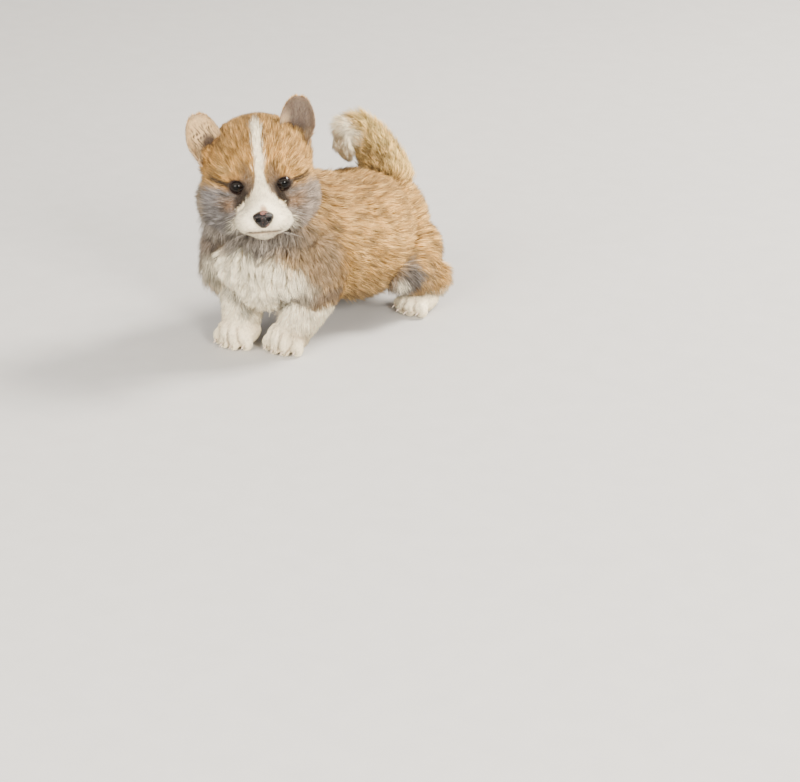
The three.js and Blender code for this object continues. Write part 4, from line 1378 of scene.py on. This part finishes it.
def tuft_piece(name, points, faces, tints, places, finish):
    """One mesh of many spindles, with colours and a small patch of the map for each."""
    count, each = points.shape[:2]
    mesh = bpy.data.meshes.new(name)
    mesh.vertices.add(count * each)
    mesh.vertices.foreach_set("co", points.reshape(-1))
    mesh.loops.add(len(faces) * 3)
    mesh.loops.foreach_set("vertex_index", faces.reshape(-1))
    mesh.polygons.add(len(faces))
    mesh.polygons.foreach_set("loop_start", np.arange(len(faces)) * 3)
    mesh.update(calc_edges=True)
    mesh.validate()
    paint(mesh, tints.reshape(-1, 3))
    spread = np.zeros((each, 2))
    spread[:, 0] = (np.arange(each) % 3 - 1) * PATCH / 2
    spread[:, 1] = (np.arange(each) // 3) / ((each - 1) // 3) * PATCH - PATCH / 2
    spread[-1] = (0, PATCH / 2)
    flat = (places[:, None, :] + spread).reshape(-1, 2)
    layer = mesh.uv_layers.new(name="OFBake")
    layer.data.foreach_set("uv", np.clip(flat, 0, 1)[faces.reshape(-1)].reshape(-1))
    piece = bpy.data.objects.new(name, mesh)
    bpy.context.collection.objects.link(piece)
    mesh.shade_smooth()
    finish_piece(piece, finish)
    return piece


# %% The fur's finish
fur_finish, fur_shader = new_material("puppy fur", roughness=0.78, specular=0.12)
tinted(fur_finish, fur_shader, scale=350, strength=0.12)
fur_shader.inputs["Sheen Weight"].default_value = 0.06
fur_shader.inputs["Sheen Roughness"].default_value = 0.45
fur_shader.inputs["Sheen Tint"].default_value = (1.0, 0.88, 0.68, 1)
print("fur material ready")

# %% [markdown]
# ## The coat
#
# A hair's length, width, rise and lock size come from the kind of flesh at its root. It starts steeply, bends
# over and settles along the lie. Long hair waves a little. The colour at the root is the marking's, and small
# locks differ in tone as real ones do: in the fawn some are darkened to sable and some paled to cream, in the
# grey some have silver tips, and white locks stay clean. Roots are darker than tips, as painted shade deep in
# the coat: deepest under coloured hair, faint under short white hair. Hairs close to the floor stop above it.

# %% The bend of a hair
STRAY_SHARE, STRAY_RISE, STRAY_LEAN = 0.06, 1.6, 0.1
LENGTH_SPREAD, RISE_SPREAD, WIDTH_SPREAD = (0.72, 1.15), (0.8, 1.2), (0.8, 1.2)
LOCK_SWING, HAIR_SWING, LOCK_RISE = 0.16, 0.1, 0.16
RISE_OF_STEPS = (1.35, 0.85, 0.25)
ROOT_SINK = 0.25
SWAY, SWAY_TURN, SWAY_START, SWAY_FULL = 0.26, 2.2, 8, 18
LEAN_CURVE = 1.6
HAIR_OVER_FLOOR = 0.0005


def bent(roots, normals, lie, aside, rise, length):
    """The line of each hair: from under the skin in three steps, each flatter than the one before."""
    line = [roots - normals * (ROOT_SINK * MM)]
    wave = rng.uniform(0, 2 * math.pi, len(roots))
    for step, steepness in enumerate(RISE_OF_STEPS):
        up = rise * steepness
        sway = SWAY * np.sin(wave + step * SWAY_TURN) * fade(length / MM, SWAY_START, SWAY_FULL)
        way = lie * np.cos(up)[:, None] + normals * np.sin(up)[:, None] + aside * sway[:, None]
        line.append(line[-1] + unit(way) * (length / len(RISE_OF_STEPS))[:, None])
    return np.stack(line, axis=1)


def gathered(lines, roots, lock, lean):
    """The same lines with their tips drawn together into locks, and which lock each hair is in."""
    shift, near = leaning(roots, lines[:, -1], lock, lean)
    steps = lines.shape[1] - 1
    for step in range(1, steps + 1):
        lines[:, step] += shift * (step / steps) ** LEAN_CURVE
    lines[:, 1:, 2] = np.maximum(lines[:, 1:, 2], HAIR_OVER_FLOOR)
    return lines, near


# %% The colour of a hair
SABLE_SHARE, PALE_SHARE, SILVER_SHARE = 0.34, 0.3, 0.3
SABLE_STRENGTH, CREAM_STRENGTH, SHORT_STRENGTH = 0.3, 0.42, 0.35
STREAK, LOCK_TONE, STREAK_TONE, HAIR_TONE = 0.46, 0.17, 0.28, 0.08
TONE_RANGE = (0.45, 1.45)
TIP_SHADE, SABLE_TIP, CREAM_TIP, SILVER_TIP, SILVER_FROM = 1.1, 0.6, 0.15, 1.1, 5
SCATTER = 1.0


def coloured(roots, length, lock, near, tint_of):
    """The colour of each hair, and how light its tip is."""
    cell = in_cells(roots, lock * STREAK)[1]
    scatter = rng.normal(0, SCATTER * MM, (len(roots), 3)) * fade(length / MM, 2, 9)[:, None]
    tints = tint_of(roots + scatter)
    paleness = fade(tints.mean(axis=1), 0.6, 0.78)
    fawn = fade(tints[:, 0] - tints[:, 2], 0.18, 0.34) * (1 - paleness)
    tone = rng.normal(0, STREAK_TONE, cell.max() + 1)[cell] + rng.normal(0, LOCK_TONE, near.max() + 1)[near]
    own = rng.normal(1, HAIR_TONE, len(roots)) + tone * (1 - 0.6 * paleness)
    chance = rng.random(cell.max() + 1)[cell]
    sable, pale = fawn * (chance < SABLE_SHARE), fawn * (chance > 1 - PALE_SHARE)
    long_hair = SHORT_STRENGTH + (1 - SHORT_STRENGTH) * fade(length / MM, 7, 14)
    tints = mixed(tints, SABLE, SABLE_STRENGTH * sable * long_hair)
    tints = mixed(tints, CREAM, CREAM_STRENGTH * pale * long_hair)
    grey = (1 - fade(tints[:, 0] - tints[:, 2], 0.08, 0.16)) * (1 - fade(tints[:, 1], 0.25, 0.4))
    silver = grey * (chance > 1 - SILVER_SHARE) * (length > SILVER_FROM * MM)
    tips = TIP_SHADE - SABLE_TIP * sable + CREAM_TIP * pale + SILVER_TIP * silver
    return tints * np.clip(own, *TONE_RANGE)[:, None], tips


def grown(roots, normals, lie, hair, tint_of):
    """Lines, widths, colours, tips and sideways directions of the hairs. A few strays stand out."""
    count = len(roots)
    length, width, rise, _, lock, lean = hair.T
    stray = rng.random(count) < STRAY_SHARE
    length = length * rng.uniform(*LENGTH_SPREAD, count) * MM
    aside = unit(np.cross(normals, lie))
    clump = in_cells(roots, lock)[1]
    swing = rng.normal(0, LOCK_SWING, clump.max() + 1)[clump] + rng.normal(0, HAIR_SWING, count)
    lie = unit(lie + aside * swing[:, None])
    rise = np.radians(rise) * rng.uniform(*RISE_SPREAD, count) * np.where(stray, STRAY_RISE, 1)
    rise = rise * (1 + rng.normal(0, LOCK_RISE, clump.max() + 1)[clump])
    lines = bent(roots, normals, lie, aside, rise, length)
    lines, near = gathered(lines, roots, lock, np.where(stray, STRAY_LEAN, lean))
    tints, tips = coloured(roots, length, lock, near, tint_of)
    return lines, width * MM * rng.uniform(*WIDTH_SPREAD, count), tints, tips, aside


# %% Hairs as a piece of the coat
STRAIGHT_BELOW, ONE_BEND_BELOW = 6.0, 14.5
# painted shade at the roots: coloured hair, ear hair, short white hair, and how much darker long white roots
# are
ROOT_SHADE, EAR_ROOT_SHADE, PALE_ROOT, LONG_PALE_ROOT = 0.66, 0.9, 0.94, 0.2


def steps_kept(length):
    """Which steps of a hair's line are kept: a short hair is straight, a long one keeps every bend."""
    if length < STRAIGHT_BELOW:
        return [0, 3]
    if length < ONE_BEND_BELOW:
        return [0, 1, 3]
    return [0, 1, 2, 3]


def written(name, hairs, some, places, finish, root_shade=ROOT_SHADE):
    """Writes some hairs as one piece, with painted root shade and as many bends as their length asks."""
    lines, widths, tints, tips, aside = (part[some] for part in hairs)
    length = np.median(np.linalg.norm(lines[:, -1] - lines[:, 0], axis=1)) / MM
    lines = lines[:, steps_kept(length)]
    points, faces = spindles(lines, widths, aside)
    share = np.linspace(0, 1, lines.shape[1])
    # painted shade at the roots, fading towards the tips
    pale_root = PALE_ROOT - LONG_PALE_ROOT * fade(length, 9, 16)
    deep = root_shade + (pale_root - root_shade) * fade(tints.mean(axis=1), 0.5, 0.75)[:, None]
    shade = deep + (tips[:, None] - deep) * share
    shade = np.concatenate([np.repeat(shade[:, :-1], 3, axis=1), shade[:, -1:]], axis=1)
    return tuft_piece(name, points, faces, tints[:, None, :] * shade[:, :, None], places[some], finish)


# %% Where the skin is bare
BARE_MARGIN = (1.2, 1.0)
BARE_NOSE = 0.98
BARE_LIPS, BARE_LIPS_BACK = 0.8, -16
BARE_SOLE = 0.0006


def bare_share(points):
    """How bare the skin is at the eyes, the nose leather, the lips' fold and the soles."""
    bare = points[:, 2] < BARE_SOLE
    head = in_axes(points, HEAD)
    for side in SIDES:
        local = in_axes(points, gaze(side))
        wide, high = EYE_OPENING[0] + BARE_MARGIN[0], EYE_OPENING[1] + BARE_MARGIN[1]
        bare |= (np.hypot(local[:, 0] / wide, local[:, 2] / high) < 1) & (local[:, 1] < 2)
    off_nose = (head - np.array(NOSE_AT)) / (np.array(NOSE_SIZE) * BARE_NOSE)
    bare |= np.linalg.norm(off_nose, axis=1) < 1
    at_mouth = np.abs(head[:, 2] - mouth_line(head[:, 0])) < BARE_LIPS
    bare |= at_mouth & (head[:, 1] < BARE_LIPS_BACK) & (np.abs(head[:, 0]) < MOUTH_END)
    return bare.astype(float)


# %% Scatter the coat's roots on the skin
TAIL_END_SIZE, TAIL_END_DENSER = (22, 22, 24), 1.4
BELLY_THINNER = 0.35
skin_faces = faces_of(skin)
hair_of_skin = skin_kinds @ np.array([HAIR[kind] for kind in KINDS])
face_kinds = skin_kinds[skin_faces].mean(axis=1)
face_hair = hair_of_skin[skin_faces].mean(axis=1)
face_middle = skin_points[skin_faces].mean(axis=1)
face_down = -skin_normals[skin_faces].mean(axis=1)[:, 2]
tail_end = spot(in_axes(face_middle, BODY), TAIL[-2], TAIL_END_SIZE) * of_kinds(face_kinds, "tail")
density = face_hair[:, 3] * (1 - bare_share(face_middle)) * (1 - BELLY_THINNER * fade(face_down, 0.5, 0.9))
density *= 1 + TAIL_END_DENSER * tail_end
chosen, shares = scattered(skin_points, skin_faces, density)
roots = at_roots(skin_points, skin_faces, chosen, shares)
root_normals = unit(at_roots(skin_normals, skin_faces, chosen, shares))
root_lie = flat_on(at_roots(skin_lie, skin_faces, chosen, shares), root_normals)
root_hair = at_roots(hair_of_skin, skin_faces, chosen, shares)
root_main = face_kinds[chosen].argmax(axis=1)
print(len(roots), "hairs in the coat")

# %% [markdown]
# ## Shorter and longer hair
#
# Round the eyes the hair is as short as velvet, and it grows longer over the first centimetre. It is short
# round the nose, beside the muzzle, on the white of the face, where the bib lies over the legs and at the
# tail's end. Loose long hair stands out at the elbow and the side of the chest. One length for each kind of
# flesh can't say that, so the roots' own lengths and rises are changed by soft ovals again.

# %% Short hair round the eyes, the nose and the tail's end
LENGTH_OF, RISE_OF = 0, 2
EYE_ROUNDNESS, SHORT_AT_EYE, EYE_NEAR, EYE_TRIM_END = (0.9, 0.6, 1.0), 0.28, 6, 14.5
SHORT_AT_NOSE, NOSE_NEAR, NOSE_TRIM_END = 0.45, 8, 20
TAIL_END_SHORTER, TAIL_END_FLATTER = 0.45, 0.6
near_eye = np.full(len(roots), float(FAR_OFF))
for side in SIDES:
    near_eye = np.minimum(near_eye, np.linalg.norm(in_axes(roots, gaze(side)) * EYE_ROUNDNESS, axis=1))
near_nose = np.linalg.norm(in_axes(roots, HEAD) - np.array(NOSE_AT), axis=1)
trim = SHORT_AT_EYE + (1 - SHORT_AT_EYE) * fade(near_eye, EYE_NEAR, EYE_TRIM_END)
trim *= SHORT_AT_NOSE + (1 - SHORT_AT_NOSE) * fade(near_nose, NOSE_NEAR, NOSE_TRIM_END)
root_hair[:, LENGTH_OF] *= trim
root_hair[:, RISE_OF] *= 0.6 + 0.4 * trim
root_hair[:, LENGTH_OF] *= 1 - TAIL_END_SHORTER * tail_end[chosen]
root_hair[:, RISE_OF] *= 1 - TAIL_END_FLATTER * tail_end[chosen]
print("shortest share at the eyes and the nose", trim.min().round(2))

# %% Hair of the muzzle's sides, the bib and the chest's side
LIP_FRINGE, BIB_OVER_LEGS_SHORTER = 1.6, 0.72
# elbow and side of the chest: centre, radii, mm longer and degrees steeper
LOOSE_HAIR = [((-55, -98, 57), (20, 26, 25), 8, 10), ((-52, -108, 92), (24, 24, 40), 4, 6)]
on_head, on_body = in_axes(roots, HEAD), in_axes(roots, BODY)
muzzle_side = (root_main == KINDS.index("muzzle")) * fade(np.abs(on_head[:, 0]), 13, 24)
root_hair[:, LENGTH_OF] += LIP_FRINGE * muzzle_side * (1 - fade(on_head[:, 2], -24, -14))
over_legs = (root_main == KINDS.index("bib")) * (1 - fade(on_body[:, 2], 50, 74))
over_legs *= fade(np.abs(on_body[:, 0] - BREAST_MIDDLE), 9, 20)
root_hair[:, LENGTH_OF] *= 1 - BIB_OVER_LEGS_SHORTER * over_legs
for centre, radii, longer, steeper in LOOSE_HAIR:
    loose = spot(on_body, centre, radii)
    root_hair[:, LENGTH_OF] += longer * loose
    root_hair[:, RISE_OF] += steeper * loose
print("the bib is shortened over", int((over_legs > 0.5).sum()), "roots")

# %% Hair of the face's corners, its white and the ears' feet
BESIDE_MUZZLE, BESIDE_MUZZLE_SIZE, BESIDE_MUZZLE_TRIM = (20, -10, -13), (11, 18, 12), 0.5
LIP_CORNER, CORNER_LENGTH, CORNER_GROWTH = (22, -8, -15), 2.6, 16
LONGEST_WHITE, WHITE_FROM = 3.6, 0.5
EAR_HAIR_AT, EAR_HAIR_NEAR, EAR_HAIR_END = (35, 28, 28), 10, 22
beside = np.maximum(*(spot(on_head, on_side(side, BESIDE_MUZZLE), BESIDE_MUZZLE_SIZE, 0.6) for side in SIDES))
root_hair[:, LENGTH_OF] *= 1 - BESIDE_MUZZLE_TRIM * beside
root_hair[:, RISE_OF] *= 1 - BESIDE_MUZZLE_TRIM * beside
folded = np.column_stack([np.abs(on_head[:, 0]), on_head[:, 1:]])
off_corner = np.linalg.norm(folded - np.array(LIP_CORNER), axis=1)
longest = CORNER_LENGTH + CORNER_GROWTH * fade(off_corner, 6, 16)
root_hair[:, LENGTH_OF] = np.minimum(root_hair[:, LENGTH_OF], longest)
on_face = of_kinds(face_kinds[chosen], "skull", "cheek", "muzzle", "jaw") > 0.5
above_lips = fade(on_head[:, 2], -26, -20) * (on_head[:, 1] < 0) * on_face
on_white = above_lips * (head_colours(on_head).mean(axis=1) > WHITE_FROM)
too_long = np.maximum(root_hair[:, LENGTH_OF] - LONGEST_WHITE, 0)
root_hair[:, LENGTH_OF] -= too_long * on_white
for side, longer in ((1, 0.4), (-1, -0.4)):
    near_ear = np.linalg.norm(on_head - np.array(on_side(side, EAR_HAIR_AT)), axis=1)
    root_hair[:, LENGTH_OF] *= 1 + longer * (1 - fade(near_ear, EAR_HAIR_NEAR, EAR_HAIR_END))
print("the white of the face has", int((on_white > 0.5).sum()), "roots")

# %% Grow the coat
coat = grown(roots, root_normals, root_lie, root_hair, lambda where: markings(where, kinds_at(where)))
places = on_map(roots)
hair_lengths = np.linalg.norm(coat[0][:, -1] - coat[0][:, 0], axis=1) / MM
print("hairs are", hair_lengths.mean().round(1), "mm long")

# %% Write the coat in pieces
PIECE_FACES = 190000
BEND_LOSS = 2
total_faces = 0
for kind_number, kind in enumerate(KINDS):
    of_kind = np.flatnonzero(root_main == kind_number)
    of_kind = of_kind[np.argsort(roots[of_kind, 0] + 0.3 * roots[of_kind, 1], kind="stable")]
    rings = len(steps_kept(HAIR[kind][0] - BEND_LOSS)) - 1
    number = max(1, math.ceil(len(of_kind) * (6 * rings - 2) / PIECE_FACES))
    for i, some in enumerate(np.array_split(of_kind, number)):
        piece = written(f"coat_{kind}_{i + 1}", coat, some, places, fur_finish)
        total_faces += len(piece.data.polygons)
    print(kind, len(of_kind), "hairs in", number, "pieces")
print("faces in the coat", total_faces)

# %% [markdown]
# ## Hair of the ears
#
# The backs carry short fur that lies towards the tip. A fringe stands along the rim, and long pale hairs grow
# from the inner base across the cup.

# %% Hair of the ears
EAR_HAIR = {
    "back": (3.4, 0.32, 16, 3.6, 2.6, 0.15),
    "cup": (2.6, 0.24, 18, 2.6, 2.4, 0.1),
    "inner": (9, 0.3, 36, 1.3, 3.0, 0.2),
}
INNER_LOW, INNER_HIGH, BARE_BASE = 6, 20, 1
RIM_FRINGE, CUP_SPREAD = 0.8, 0.25


def ear_hair(local, inward):
    """The plan of an ear's hair: short on the back, finer in the cup and long at the inner base."""
    low = (1 - fade(local[:, 2], INNER_LOW, INNER_HIGH)) * inward
    half = np.maximum(leaf_half(np.clip(local[:, 2] / EAR_LENGTH, 0, 0.99)), 1)
    parts = ((1 - inward, "back"), (inward - low, "cup"), (low, "inner"))
    hair = sum(np.outer(share, EAR_HAIR[part]) for share, part in parts)
    hair[:, LENGTH_OF] += RIM_FRINGE * fade(np.abs(local[:, 0]) / half, 0.75, 0.95)
    return hair


for name, base, tip, turn in EARS:
    points, normals, faces = points_of(ears[name]), normals_of(ears[name]), faces_of(ears[name])
    axes = ear_axes(base, tip, turn)
    local, inward = on_ear(points, normals, axes)
    hair = ear_hair(local, inward)
    upward = np.stack([CUP_SPREAD * np.sign(local[:, 0]) * inward, 0 * inward, np.ones(len(local))], axis=1)
    lie = flat_on(out_of_axes(upward, axes), normals)
    density = hair[faces].mean(axis=1)[:, 3] * (local[faces].mean(axis=1)[:, 2] > BARE_BASE)
    chosen, shares = scattered(points, faces, density)
    ear_roots = at_roots(points, faces, chosen, shares)
    ear_normals = unit(at_roots(normals, faces, chosen, shares))
    ear_lie = flat_on(at_roots(lie, faces, chosen, shares), ear_normals)
    root_inward = at_roots(inward[:, None], faces, chosen, shares)[:, 0]
    ear_coat = grown(ear_roots, ear_normals, ear_lie, at_roots(hair, faces, chosen, shares),
                     lambda where: ear_colours(in_axes(where, axes), root_inward, name))
    every = np.arange(len(ear_roots))
    written(f"coat_ear_{name}", ear_coat, every, on_map(ear_roots), fur_finish, EAR_ROOT_SHADE)
    print("ear", name, len(ear_roots), "hairs")

# %% [markdown]
# ## Whiskers
#
# A pup has fine stiff whiskers in rows on the muzzle and two above each eye. A bevelled curve could make each
# of them, but they are long thin spindles like the coat's, so the same helper writes them. Each starts from
# the point of the skin that is nearest to its place.

# %% Whiskers
WHISKER_WIDTH, WHISKER_BEND = 0.26, 0.45
WHISKER_TINT = (0.62, 0.55, 0.47)
WHISKER_ROWS, WHISKER_COLUMNS, BROW_WHISKERS = 3, 4, 2
skin_tree = BVHTree.FromPolygons(skin_points.tolist(), skin_faces.tolist())
whisker_lines, whisker_roots = [], []
for side in SIDES:
    rows = [(side * (9 + 2.6 * column), -27 + 5.0 * column, -19.5 - 3.4 * row, 15 + 4.0 * column)
            for row in range(WHISKER_ROWS) for column in range(WHISKER_COLUMNS)]
    rows += [(side * (20 + 3 * k), -14, 13 + 2 * k, 15) for k in range(BROW_WHISKERS)]
    for x, y, z, length in rows:
        start = HEAD @ Vector((x, y, z))
        root = skin_tree.find_nearest(start)[0]
        out = Vector((side * 0.9, -0.15 + 0.05 * (y + 27), 0.6 if z > 0 else -0.28)).normalized()
        down = Vector((0.15 * side, 0.35, -0.35))
        line = []
        for step in range(4):
            share = step / 3
            along = out * share + down * (share ** 2 * WHISKER_BEND)
            line.append(root + (HEAD.to_3x3() @ along) * length * rng.uniform(0.98, 1.02))
        whisker_lines.append([list(p) for p in line])
        whisker_roots.append(list(root))
whisker_count = len(whisker_lines)
whisker_finish, whisker_shader = new_material("whisker", roughness=0.4, specular=0.4)
tinted(whisker_finish, whisker_shader, scale=900, strength=0.2)
whisker_tints = plain(WHISKER_TINT, whisker_count) * rng.uniform(0.3, 1.15, (whisker_count, 1))
widths, tips = np.full(whisker_count, WHISKER_WIDTH * MM), np.ones(whisker_count)
whiskers = (np.array(whisker_lines), widths, whisker_tints, tips, plain((0.0, 0.0, 1.0), whisker_count))
every, whisker_places = np.arange(whisker_count), on_map(np.array(whisker_roots))
written("whiskers", whiskers, every, whisker_places, whisker_finish)
print(whisker_count, "whiskers")

# %% [markdown]
# ## Floor and light
#
# The floor is a plain pale sheet with the faintest mottling. A soft light above and behind the puppy's left
# gives the bright edge on the back, the head and the tail. A key light stands at its left, a broad fill comes
# from the front, and a pale sky lifts the shadows.

# %% Floor
FLOOR_SIZE = 8
FLOOR_DARK, FLOOR_LIGHT = (0.45, 0.44, 0.43, 1), (0.50, 0.49, 0.48, 1)
deselect()
bpy.ops.mesh.primitive_plane_add(size=FLOOR_SIZE)
floor = bpy.context.object
floor.name = "floor"
floor_finish, floor_shader = new_material("pale floor", roughness=0.9, specular=0.2)
floor_grain = add_node(floor_finish, "ShaderNodeTexNoise", Scale=40.0, Detail=3.0)
floor_place = add_node(floor_finish, "ShaderNodeTexCoord")
link(floor_finish, floor_place.outputs["Object"], floor_grain.inputs["Vector"])
floor_tone = add_node(floor_finish, "ShaderNodeValToRGB")
floor_tone.color_ramp.elements[0].color = FLOOR_DARK
floor_tone.color_ramp.elements[1].color = FLOOR_LIGHT
link(floor_finish, floor_grain.outputs["Fac"], floor_tone.inputs["Fac"])
link(floor_finish, floor_tone.outputs["Color"], floor_shader.inputs["Base Color"])
floor.data.materials.append(floor_finish)
print("floor laid")

# %% Lights
LAMP_TINT, LAMP_AIM = (1.0, 0.94, 0.84), (0, 0, 0.1)
SKY_TINT, SKY_STRENGTH = (1.0, 0.975, 0.94, 1), 0.85
# name, place in metres, size in metres and power in watts
LIGHTS = [
    ("sun", (1.0, 1.5, 1.8), 0.8, 190),
    ("key", (2.2, -0.9, 1.2), 0.7, 110),
    ("fill", (0.2, -2.3, 1.1), 1.6, 115),
]
for name, at, size, power in LIGHTS:
    bpy.ops.object.light_add(type="AREA", location=at)
    lamp = bpy.context.object
    lamp.name = name
    lamp.data.size = size
    lamp.data.energy = power
    lamp.data.color = LAMP_TINT
    aim = Vector(LAMP_AIM) - Vector(at)
    lamp.rotation_euler = aim.to_track_quat("-Z", "Y").to_euler()
world = bpy.data.worlds.new("pale sky")
world.use_nodes = True
sky = world.node_tree.nodes["Background"]
sky.inputs["Color"].default_value = SKY_TINT
sky.inputs["Strength"].default_value = SKY_STRENGTH
bpy.context.scene.world = world
print(len(LIGHTS), "lamps")
